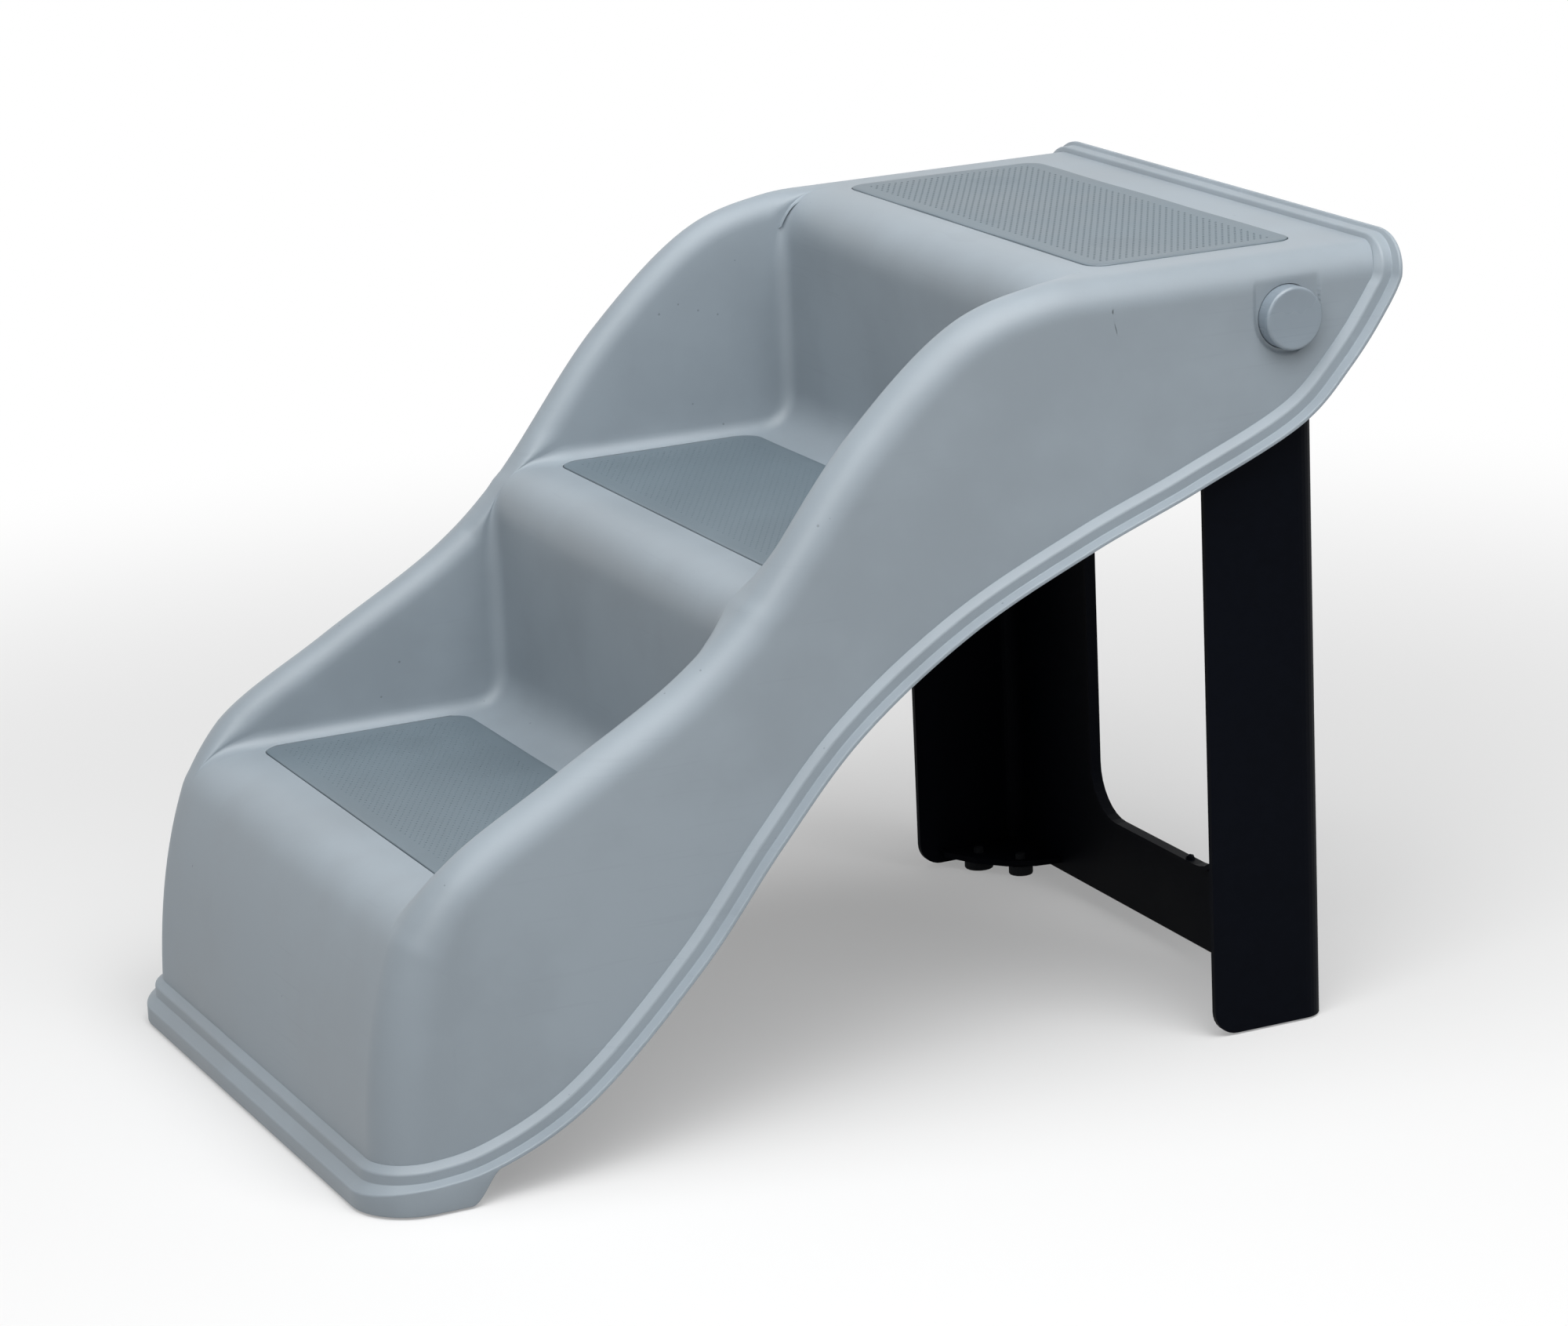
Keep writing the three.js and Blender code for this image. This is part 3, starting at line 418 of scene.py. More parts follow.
@dataclass(frozen=True)
class Ledges:
    """The flange's section: a bead's top, a riser, a lip's top and the lip's face, all crisp.

    Heights are above the flange's lower face, and reaches are out from the wall.
    """

    wall: float
    bead_out: float
    bead: float
    step: float
    lip_out: float
    lip: float
    relief: ClassVar[float] = 0.15 * MM
    lip_depth: ClassVar[float] = 1.5 * MM
    tuck_share: ClassVar[float] = 0.65
    wall_lean: ClassVar[float] = 0.12 * MM
    inside_rise: ClassVar[float] = 0.05 * MM
    eases: ClassVar[tuple[float, ...]] = (0.2 * MM, 0.8 * MM, 0.35 * MM, 1.1 * MM, 0.5 * MM)
    ease_steps: ClassVar[int] = 5

    def mixed(self, other: "Ledges", share: float) -> "Ledges":
        """These ledges a share of the way to others."""
        return Ledges(*(a + (b - a) * share for a, b in zip(astuple(self), astuple(other))))

    def outline(self, inside: float) -> Grid:
        """The closed section, from its lower inside corner round to its upper one.

        Args:
            inside: How far the section reaches into the wall.

        Returns:
            The section's points, as reaches and heights.
        """
        under = min(0, self.lip - self.lip_depth)
        tuck = self.lip_out * self.tuck_share
        lip_foot, lip_top, riser_foot, bead_top, wall_foot = self.eases
        corners = [
            ((-inside, self.relief), 0.0), ((tuck, self.relief), 0.0), ((tuck, under), 0.0),
            ((self.lip_out, under), lip_foot), ((self.lip_out, self.lip), lip_top),
            ((self.bead_out, self.step), riser_foot), ((self.bead_out, self.bead), bead_top),
            ((-self.wall_lean, self.wall), wall_foot), ((-inside, self.wall + self.inside_rise), 0.0),
        ]
        points = []
        for index, (corner, ease) in enumerate(corners):
            if not ease:
                points.append(corner)
                continue
            before, here, after = (np.array(corners[index + step][0]) for step in (-1, 0, 1))
            start = here + (before - here) * ease / np.linalg.norm(before - here)
            end = here + (after - here) * ease / np.linalg.norm(after - here)
            for turn in np.linspace(0, 1, self.ease_steps):
                points.append((1 - turn) ** 2 * start + 2 * turn * (1 - turn) * here + turn**2 * end)
        return np.array(points, float)


@dataclass
class StairShell:
    """The one-piece moulding: treads, risers, side walls, flange, skirt and ribs."""

    step_run: float = 193 * MM
    step_rise: float = 140 * MM
    first_tread: float = 158 * MM
    first_riser: float = 37 * MM
    deck_length: float = 206 * MM
    tread_half: float = 156 * MM
    nosing: float = 30 * MM
    tread_fillet: float = 24 * MM
    apron_foot: float = 11 * MM
    wall: float = 3 * MM
    wall_half: float = 187.5 * MM
    draft_share: float = 0.015
    wall_fillet: float = 9 * MM
    rim_inner: float = 13 * MM
    rim_outer: float = 18 * MM
    corner: float = 25 * MM
    flange_height: float = 14 * MM
    bead_height: float = 10 * MM
    lip_out: float = 10 * MM
    flange_root: float = 0.5 * MM
    side_ledges: Ledges = Ledges(12.55 * MM, 4.5 * MM, 9.0 * MM, 3.55 * MM, 10 * MM, 1.9 * MM)
    front_ledges: Ledges = Ledges(12.0 * MM, 4.5 * MM, 8.6 * MM, 2.5 * MM, 10 * MM, -3.0 * MM)
    back_ledges: Ledges = Ledges(10.4 * MM, 3.0 * MM, 9.4 * MM, 2.6 * MM, 5 * MM, 1.5 * MM)
    flange_steps: int = 400
    turn_steps: int = 24
    rear_ease: float = 3 * MM
    skirt_wall: float = 3 * MM
    skirt_foot: float = 55 * MM
    skirt_top: float = 73 * MM
    skirt_tuck: float = 0.9 * MM
    skirt_edge: float = 1.0 * MM
    skirt_ease: float = 0.3
    skirt_share: float = 0.2
    skirt_steps: int = 40
    floor_gap: float = 1.2 * MM
    rib: float = 3 * MM
    rib_spacing: float = 75 * MM
    rib_step: float = 4 * MM
    rib_end: float = 5 * MM
    gusset_height: float = 6 * MM
    gusset: float = 3 * MM
    gusset_reach: float = 46 * MM
    gusset_steps: int = 12
    pivot: Pair = (560 * MM, 405 * MM)
    bearing_radius: float = 25 * MM
    bearing_half: float = 40 * MM
    bearing_steps: int = 32
    button_hole: float = 17.9 * MM
    pocket_half: float = 20.5 * MM
    pocket_depth: float = 1.5 * MM
    pocket_edge: float = 0.7 * MM
    recess: float = 1.2 * MM
    recess_gap: float = 0.5 * MM
    mat_length: float = 126 * MM
    mat_width: float = 300 * MM
    mat_corner: float = 11 * MM
    mat_setback: float = 38.5 * MM
    apron_bulge_share: Pair = (0.08, 0.58)
    front_meet_share: Pair = (-0.031, -0.15)
    rim_start_share: float = 0.8
    rim_shares: tuple[Pair, ...] = (
        (0.12, 0.12), (0.46, 0.4), (0.845, 0.707), (1.04, 0.943), (1.386, 1.52), (1.72, 1.895), (1.97, 1.99), (2.17, 2),
    )
    edge_shares: tuple[Pair, ...] = (
        (0.107, 0.009), (0.19, 0.062), (0.307, 0.216), (0.384, 0.352), (0.46, 0.472), (0.567, 0.582),
        (0.687, 0.663), (0.794, 0.722), (0.901, 0.792), (0.943, 0.85), (0.9725, 0.903),
    )
    nose_ends: Pair = (0.085, 0.06)
    stretch_ends: tuple[tuple[Pair, ...], ...] = (
        ((0.31, 0.205), (0.37, 0.255), (0.435, 0.3), (0.53, 0.36)),
        ((0.78, 0.53), (0.855, 0.59), (0.93, 0.665), (1.0, 0.74)),
    )
    first_nosing_share: float = 0.9
    apron_end: float = 0.03
    edge_blend: float = 0.02
    floor_columns: int = 12
    fillet_columns: int = 6
    wall_columns: int = 8
    crest_columns: int = 14
    side_columns: int = 56
    step_spacing: float = 3.2 * MM
    fine_spacing: float = 1.1 * MM
    low_wall: float = 14 * MM
    crest_slack: float = 0.01 * MM

    def __post_init__(self) -> None:
        """Works out the places and lines that the drawing sizes fix."""
        self.treads = [self.first_tread + step * self.step_rise for step in range(3)]
        self.risers = [self.first_riser + step * self.step_run for step in range(3)]
        self.deck = self.treads[2]
        self.back = self.risers[2] + self.deck_length
        self.edge_offset = self.bead_height - self.wall
        self.centre = (self.back + self.apron_foot - self.lip_out) / 2
        chord = np.array([self.back - self.apron_foot, self.deck - self.flange_height])
        self.chord = chord / np.linalg.norm(chord)
        self.foot = (self.apron_foot, self.flange_height + self.edge_offset)
        self.meet = self.on_stair(self.front_meet_share)
        bulge = [self.foot[i] + self.apron_bulge_share[i] * (self.meet[i] - self.foot[i]) for i in (0, 1)]
        self.apron = bend(self.foot, bulge, self.meet)
        self.rim = through_points([
            self.apron.at(self.rim_start_share)[0], self.meet, *(self.on_stair(share) for share in self.rim_shares),
            (self.risers[2] + 2 * self.mat_setback, self.deck),
        ])
        self.lower = through_points([
            (self.apron_foot, self.flange_height),
            (self.apron_foot + self.corner, self.flange_height),
            *((along * self.back, self.flange_height + up * (self.deck - self.flange_height))
              for along, up in self.edge_shares),
            (self.back - self.rear_ease, self.deck - self.rim_outer),
            (self.back, self.deck),
        ])

    def on_stair(self, share: Sequence[float]) -> Pair:
        """A point given as shares of a step's run and rise from the first riser's top."""
        return self.first_riser + share[0] * self.step_run, self.first_tread + share[1] * self.step_rise

    def wall_half_at(self, place: Grid) -> Grid:
        """Half width of the drafted outer wall at places on it."""
        place = np.atleast_2d(place)
        rise = -(place[:, 0] - self.apron_foot) * self.chord[1] + (place[:, 1] - self.flange_height) * self.chord[0]
        return self.wall_half - self.draft_share * np.maximum(rise, 0)

    @property
    def pocket_floor(self) -> float:
        """How far out the flat floor of the button's pocket lies."""
        return float(self.wall_half_at(np.array(self.pivot))[0]) - self.pocket_depth

    def edge_along(self, shares: Grid) -> Grid:
        """The way the lower edge runs: level at the front, nearly upright at the back.

        Args:
            shares: Shares of the line's length.

        Returns:
            A unit direction for each share.
        """
        run = self.lower.along(shares)
        front = smooth(shares / self.edge_blend)[:, None]
        back = smooth((1 - shares) / self.edge_blend)[:, None]
        run = front * run + (1 - front) * np.array([1.0, 0.0])
        rear = np.array([self.rear_ease, self.rim_outer])
        run = back * run + (1 - back) * rear / np.linalg.norm(rear)
        return run / np.linalg.norm(run, axis=1, keepdims=True)

    def stretches(self) -> list[Stretch]:
        """The stretches of the stair from the first nosing to the back.

        Returns:
            The stretches in order.
        """
        lean = self.apron.along(1)[0]
        nose = (self.meet[0] + lean[0] / lean[1] * (self.first_tread - self.meet[1]), self.first_tread)
        nose_end = (nose[0] + self.nosing * self.first_nosing_share, self.first_tread)
        step = self.step_spacing
        found = [Stretch(bend(self.meet, nose, nose_end), *self.nose_ends, step)]
        start = nose_end
        for index, shares in enumerate(self.stretch_ends, 1):
            low, high, face = self.treads[index - 1], self.treads[index], self.risers[index]
            tread_end, riser_start = (face - self.tread_fillet, low), (face, low + self.tread_fillet)
            riser_end, nose_stop = (face, high - self.nosing), (face + self.nosing, high)
            floors = (
                straight(start, tread_end), bend(tread_end, (face, low), riser_start),
                straight(riser_start, riser_end), bend(riser_end, (face, high), nose_stop),
            )
            found += [Stretch(floor, rim, edge, step) for floor, (rim, edge) in zip(floors, shares)]
            start = nose_stop
        found.append(Stretch(straight(start, (self.back - self.edge_offset, self.deck)), None, 1.0, self.fine_spacing))
        return found

    def stations(self) -> dict[str, Grid]:
        """The floor, rim and lower edge at each station, and which way each faces.

        Returns:
            Each quantity by name, with a row for each station.
        """
        shares = np.linspace(0, 1, round(self.apron.length / self.step_spacing), endpoint=False)
        foot = {
            "floor": self.apron.at(shares), "floor_up": upward(self.apron.along(shares)),
            "edge_share": shares * self.apron_end, "corner": np.full(len(shares), self.corner),
        }
        foot["rim"], foot["rim_up"] = foot["floor"], foot["floor_up"]
        blocks = [foot]
        rim_start, edge_start = 0.0, self.apron_end
        pieces = self.stretches()
        for index, piece in enumerate(pieces):
            on_deck = piece.rim_end is None
            rim_run = 0 if on_deck else (piece.rim_end - rim_start) * self.rim.length
            longest = max(piece.floor.length, rim_run, (piece.edge_end - edge_start) * self.lower.length)
            shares = np.linspace(0, 1, round(longest / piece.spacing) + 1)
            if index + 1 < len(pieces):
                shares = shares[:-1]
            block = {"floor": piece.floor.at(shares), "floor_up": upward(piece.floor.along(shares))}
            block["rim"], block["rim_up"] = block["floor"], block["floor_up"]
            if not on_deck:
                places = rim_start + shares * (piece.rim_end - rim_start)
                block["rim"], block["rim_up"] = self.rim.at(places), upward(self.rim.along(places))
            block["edge_share"] = edge_start + shares * (piece.edge_end - edge_start)
            turn = shares if index == 0 else np.ones(len(shares))
            block["corner"] = self.corner + (self.rim_outer - self.corner) * turn
            blocks.append(block)
            rim_start, edge_start = piece.rim_end, piece.edge_end
        found = {key: np.concatenate([block[key] for block in blocks]) for key in blocks[0]}
        found["rise"] = self.rise(found)
        found["rim"] = found["rim"] + found["floor_up"] * np.maximum(0, -found["rise"])[:, None]
        edge_up = upward(self.edge_along(found["edge_share"]))
        found["edge"] = self.lower.at(found["edge_share"]) + edge_up * self.edge_offset
        return found

    @staticmethod
    def rise(rows: dict[str, Grid]) -> Grid:
        """How far the rim stands above the floor at each station; less than nothing where it dips."""
        return ((rows["rim"] - rows["floor"]) * (rows["floor_up"] + rows["rim_up"])).sum(axis=1) / 2

    def half_columns(self, rows: dict[str, Grid]) -> Grid:
        """The outer skin's columns, from the centre plane out to the lower edge.

        Args:
            rows: The stations.

        Returns:
            An array of stations, columns and coordinates.
        """
        count = len(rows["rim"])
        share = np.clip(rows["rise"] / (self.wall_fillet + self.rim_inner), 0, 1)
        outer = self.wall_half_at(rows["rim"])
        crest = outer - rows["corner"]
        columns: list[Grid] = []

        def add(line: str, lift: Grid, across: Grid) -> None:
            """Adds a column lifted off a line, at a place across the stairs."""
            base = rows[line] + rows[f"{line}_up"] * np.broadcast_to(lift, count)[:, None]
            columns.append(np.column_stack([base[:, 0], np.broadcast_to(across, count), base[:, 1]]))

        def between(first: Grid, last: Grid, parts: int) -> list[Grid]:
            """Evenly spaced columns between two."""
            return [first + (last - first) * step / parts for step in range(1, parts)]

        fillet, inner_edge = self.wall_fillet, self.tread_half - self.wall_fillet
        for place in np.linspace(0, inner_edge, self.floor_columns + 1)[:-1]:
            add("floor", 0, place)
        for turn in np.linspace(0, QUARTER, self.fillet_columns + 1):
            add("floor", fillet * share * (1 - math.cos(turn)), inner_edge + fillet * math.sin(turn))
        foot, arc = columns[-1], len(columns)
        for turn in np.linspace(0, QUARTER, self.wall_columns + 1):
            across = self.tread_half + (crest - self.tread_half) * (1 - math.cos(turn))
            add("rim", -self.rim_inner * share * (1 - math.sin(turn)), across)
        columns[arc:arc] = between(foot, columns[arc], self.wall_columns)
        for turn in np.linspace(0, QUARTER, self.crest_columns + 1)[1:]:
            add("rim", -rows["corner"] * (1 - math.cos(turn)), crest + rows["corner"] * math.sin(turn))
        edge = np.column_stack([rows["edge"][:, 0], np.full(count, self.wall_half), rows["edge"][:, 1]])
        return np.stack([*columns, *between(columns[-1], edge, self.side_columns), edge], axis=1)

    def skin(self) -> Piece:
        """The even-walled sheet that the treads, risers and side walls are made of.

        Returns:
            The sheet as a closed mesh.
        """
        rows = self.stations()
        half = self.half_columns(rows)
        near = half[:, :0:-1] * np.array([1, -1, 1])
        outer = np.concatenate([near, half], axis=1)
        count, width, _ = outer.shape
        inner = outer - self.inward(rows, outer) * self.wall
        outer = self.pocketed(outer)
        cell = np.arange(count * width).reshape(count, width)
        cells, shift = quads(count, width), count * width
        border = np.concatenate([cell[0, :-1], cell[:-1, -1], cell[-1, :0:-1], cell[:0:-1, 0]])
        after = np.roll(border, -1)
        strip = np.stack([border, after, after + shift, border + shift], axis=-1)
        faces = np.concatenate([cells, cells[:, ::-1] + shift, strip])
        piece = mesh_object("stair_shell", np.concatenate([outer.reshape(-1, 3), inner.reshape(-1, 3)]), faces)
        self.weld(piece)
        face_outwards(piece)
        return piece

    def inward(self, rows: dict[str, Grid], outer: Grid) -> Grid:
        """The way the inner face lies from each point, straightened where the side wall is low.

        Args:
            rows: The stations.
            outer: The outer face, as stations, columns and coordinates.

        Returns:
            Unit vectors out of the moulding.
        """
        normals = self.grid_normals(outer)
        height = np.linalg.norm(rows["rim"] - rows["floor"], axis=1)[:, None, None]
        up = rows["floor_up"][:, None, :]
        upright = np.concatenate([up[..., :1], np.zeros_like(up[..., :1]), up[..., 1:]], axis=2)
        crest = (self.wall_half_at(rows["rim"]) - rows["corner"])[:, None, None]
        low = (1 - smooth(height / self.low_wall)) * (np.abs(outer[..., 1:2]) <= crest + self.crest_slack)
        mixed = normals * (1 - low) + upright * low
        return mixed / np.linalg.norm(mixed, axis=2, keepdims=True)

    @staticmethod
    def grid_normals(grid: Grid) -> Grid:
        """Unit normals of a grid of points, shared by points that lie together.

        Args:
            grid: The points, as rows, columns and coordinates.

        Returns:
            A unit vector for each point.
        """
        flat = grid.reshape(-1, 3)
        _, shared = np.unique(np.round(flat / SAME_PLACE).astype(np.int64), axis=0, return_inverse=True)
        shared = shared.ravel()
        corners = quads(*grid.shape[:2])
        a, b, c, d = (flat[corners[:, i]] for i in range(4))
        faces = np.cross(c - a, d - b)
        total = np.zeros((shared.max() + 1, 3))
        for i in range(4):
            np.add.at(total, shared[corners[:, i]], faces)
        normals = total[shared]
        normals /= np.maximum(np.linalg.norm(normals, axis=1, keepdims=True), NO_AREA)
        return normals.reshape(grid.shape)

    @staticmethod
    def weld(piece: Piece) -> None:
        """Merges corners that lie together and drops the faces that vanish.

        Args:
            piece: The mesh.
        """
        work = bmesh.new()
        work.from_mesh(piece.data)
        bmesh.ops.remove_doubles(work, verts=work.verts, dist=2 * SAME_PLACE)
        bmesh.ops.dissolve_degenerate(work, edges=work.edges, dist=SAME_PLACE)
        work.to_mesh(piece.data)
        work.free()

    def pocketed(self, skin: Grid) -> Grid:
        """Presses the flat, soft-edged pocket round each button into the outer skin.

        Args:
            skin: The outer skin's points.

        Returns:
            The points with the pockets pressed in.
        """
        across = skin[..., 0] - self.pivot[0]
        below = np.minimum(skin[..., 2] - self.pivot[1], 0)
        inside = self.pocket_half - np.hypot(across, below)
        over = np.maximum(np.abs(skin[..., 1]) - self.pocket_floor, 0)
        pressed = skin.copy()
        pressed[..., 1] -= np.sign(skin[..., 1]) * over * smooth(inside / self.pocket_edge)
        return pressed

    def flange(self) -> Piece:
        """The ledged flange: a loop along the lower edge, across the front and across the back.

        Returns:
            The flange as a closed mesh.
        """
        rings = []
        shares = np.linspace(0, 1, self.flange_steps + 1)
        quarter = np.linspace(0, QUARTER, self.turn_steps + 1)
        for side in Side:
            line = [(0.0, turn) for turn in quarter[:0:-1]]
            line += [(share, 0.0) for share in shares]
            line += [(1.0, turn) for turn in quarter[1:]]
            rings += [self.flange_ring(share, turn, side) for share, turn in line[:: -side.value]]
        return mesh_object("flange", *closed_sweep(np.array(rings)))

    def flange_ring(self, share: float, turn: float, side: Side) -> Grid:
        """The flange's section at one place of its loop.

        Args:
            share: The place along the lower line.
            turn: The turn round a corner at the line's end, in radians.
            side: The side of the stairs.

        Returns:
            The section's points in space.
        """
        base = self.lower.at(share)[0]
        along = self.edge_along(np.array([share]))[0]
        away = -along if share == 0 else along
        radius = self.corner if share == 0 else self.rim_outer
        reach = radius / (along[1] if share == 1 else 1)
        rounded = corner_share(turn)
        ledges = self.side_ledges
        if turn:
            ledges = ledges.mixed(self.front_ledges if share == 0 else self.back_ledges, rounded)
        x, z = base + away * math.sin(turn) * reach
        if share == 1:
            along = along * (1 - rounded) + np.array([0.0, 1.0]) * rounded
            along = away = along / np.linalg.norm(along)
        y = side.value * (self.wall_half - radius + math.cos(turn) * radius)
        out = np.array([away[0] * math.sin(turn), side.value * math.cos(turn), away[1] * math.sin(turn)])
        up = np.array([-along[1], 0.0, along[0]])
        section = ledges.outline(self.wall + self.flange_root)
        return np.array([x, y, z]) + section[:, :1] * out + section[:, 1:] * up

    def skirt(self) -> Piece:
        """The U-shaped skirt under the flange's front lip, whose ends rise in a soft curve.

        Returns:
            The skirt as a closed mesh.
        """
        outer, front = self.wall_half + self.lip_out, self.apron_foot - self.lip_out
        radius = self.corner + self.lip_out
        end = self.skirt_top + self.wall
        lower = self.lower.at(np.linspace(0, self.skirt_share, EDGE_STEPS))
        places = np.linspace(front + radius, end, self.skirt_steps)
        plan = [(x, outer, 0.0, 1.0, self.side_ledges.lip) for x in places[::-1]]
        for turn in np.linspace(0, QUARTER, self.turn_steps + 1)[1:]:
            sweep = (front + radius - radius * math.sin(turn), outer - radius + radius * math.cos(turn))
            lip = self.side_ledges.mixed(self.front_ledges, corner_share(turn)).lip
            plan.append((*sweep, -math.sin(turn), math.cos(turn), lip))
        plan += [(x, -y, nx, -ny, lip) for x, y, nx, ny, lip in plan[::-1]]
        rings, ease = [], self.skirt_ease
        for x, y, nx, ny, lip in plan:
            meet = float(np.interp(x, lower[:, 0], lower[:, 1], left=self.flange_height))
            rise = smooth(np.array((x - self.skirt_foot) / (self.skirt_top - self.skirt_foot)))
            low = self.floor_gap + float(rise) * (meet - self.floor_gap)
            top = meet + lip - self.skirt_tuck
            edge = min(self.skirt_edge, (top - low) / 3)
            section = [
                (-self.skirt_wall, top), (-self.skirt_wall, low), (-edge, low), (-edge * ease, low + edge * ease),
                (0.0, low + edge), (0.0, top),
            ]
            rings.append([(x + nx * out, y + ny * out, z) for out, z in section])
        return mesh_object("skirt", *capped_sweep(np.array(rings)))

    def rib_outline(self) -> Grid:
        """A rib's side outline: under the stair's surface and above the line of its inner corners.

        Returns:
            The outline's points, in X and Z.
        """
        inset = self.wall / 2
        tops = []
        for piece in self.stretches():
            shares = np.linspace(0, 1, max(2, round(piece.floor.length / self.rib_step)), endpoint=False)
            tops.append(piece.floor.at(shares) - upward(piece.floor.along(shares)) * inset)
        rear = self.back - self.edge_offset - self.rib_end
        shares = np.linspace(0, 1, EDGE_STEPS)
        edge = self.lower.at(shares) + upward(self.edge_along(shares)) * self.bead_height
        line = np.array([
            (self.apron_foot + self.wall, self.flange_height + self.bead_height),
            (self.risers[1], self.treads[0]), (self.risers[2], self.treads[1]), (rear, self.deck - inset),
        ])
        places = np.linspace(line[0, 0], rear, 2 * CURVE_STEPS)
        bottom = np.maximum(np.interp(places, *line.T), np.interp(places, *edge.T))
        under = np.column_stack([places, np.minimum(bottom, self.deck - inset)])[:0:-1]
        return np.vstack([*tops, [(rear, self.deck - inset)], under[1:], line[:1]])

    def inner_parts(self) -> list[Piece]:
        """The ribs, the ribs that carry the pivots, and the front corners' shelves.

        Returns:
            The parts, each a closed mesh.
        """
        parts = []
        outline = self.rib_outline()
        for index, place in enumerate((-self.rib_spacing, 0.0, self.rib_spacing)):
            solid = prism(outline, place - self.rib / 2, place + self.rib / 2, 1)
            parts.append(mesh_object(f"rib_{index}", *solid))
        x, top = self.pivot[0], self.deck - self.wall / 2
        turns = np.linspace(math.pi, 2 * math.pi, self.bearing_steps + 1)
        round_end = np.array(self.pivot) + self.bearing_radius * np.column_stack([np.cos(turns), np.sin(turns)])
        bearing = np.vstack([[(x - self.bearing_half, top)], round_end, [(x + self.bearing_half, top)]])
        inner, outer = self.wall_half - self.gusset_reach, self.wall_half + self.lip_out - self.skirt_wall / 2
        front = self.apron_foot - self.lip_out + self.skirt_wall / 2
        radius = self.corner + self.lip_out - self.skirt_wall / 2
        turns = np.linspace(math.pi, QUARTER, self.gusset_steps)
        corner = np.column_stack([front + radius + radius * np.cos(turns), outer - radius + radius * np.sin(turns)])
        end = self.skirt_foot - self.skirt_wall
        shelf = np.vstack([[(front, inner)], corner, [(end, outer), (end, outer - 2 * self.skirt_wall)]])
        for side in Side:
            low, high = sorted((side.value * self.tread_half, side.value * (self.tread_half + self.wall)))
            parts.append(mesh_object(f"bearing_{side.name}", *prism(bearing, low, high, 1)))
            plan = shelf * np.array([1, side.value])
            parts.append(mesh_object(
                f"shelf_{side.name}", *prism(plan, self.gusset_height, self.gusset_height + self.gusset, 2),
            ))
        return parts

    def cutters(self) -> list[Piece]:
        """The solids cut away for the mats and the buttons.

        Returns:
            The cutters, each a closed mesh.
        """
        parts = []
        for step, height in enumerate(self.treads):
            gap = self.recess_gap
            front, half = self.risers[step] + self.mat_setback - gap, self.mat_width / 2 + gap
            outline = rounded_rectangle(
                (front, -half), (front + self.mat_length + 2 * gap, half), self.mat_corner + gap,
            )
            parts.append(mesh_object(f"recess_{step}", *prism(outline, height - self.recess, height + self.wall, 2)))
        for side in Side:
            start = side.value * (self.tread_half + 4 * self.wall)
            end = side.value * (self.wall_half + 2 * self.wall)
            profile = [(0, start), (self.button_hole, start), (self.button_hole, end), (0, end)]
            parts.append(mesh_object(f"hole_{side.name}", *turned(profile, self.pivot, ROUND_SIDES)))
        return parts

    def build(self) -> Piece:
        """Builds the whole moulding as one closed mesh.

        Returns:
            The shell, in place on its body.
        """
        shell = self.skin()
        for part in (self.flange(), self.skirt(), *self.inner_parts()):
            joined(shell, part, Joining.ADD)
        for part in self.cutters():
            joined(shell, part, Joining.CUT)
        shell.data.transform(Matrix.Translation((-self.centre, 0, 0)))
        soften(shell)
        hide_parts("body_shell")
        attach(shell, "shell")
        return shell


# The tread mats


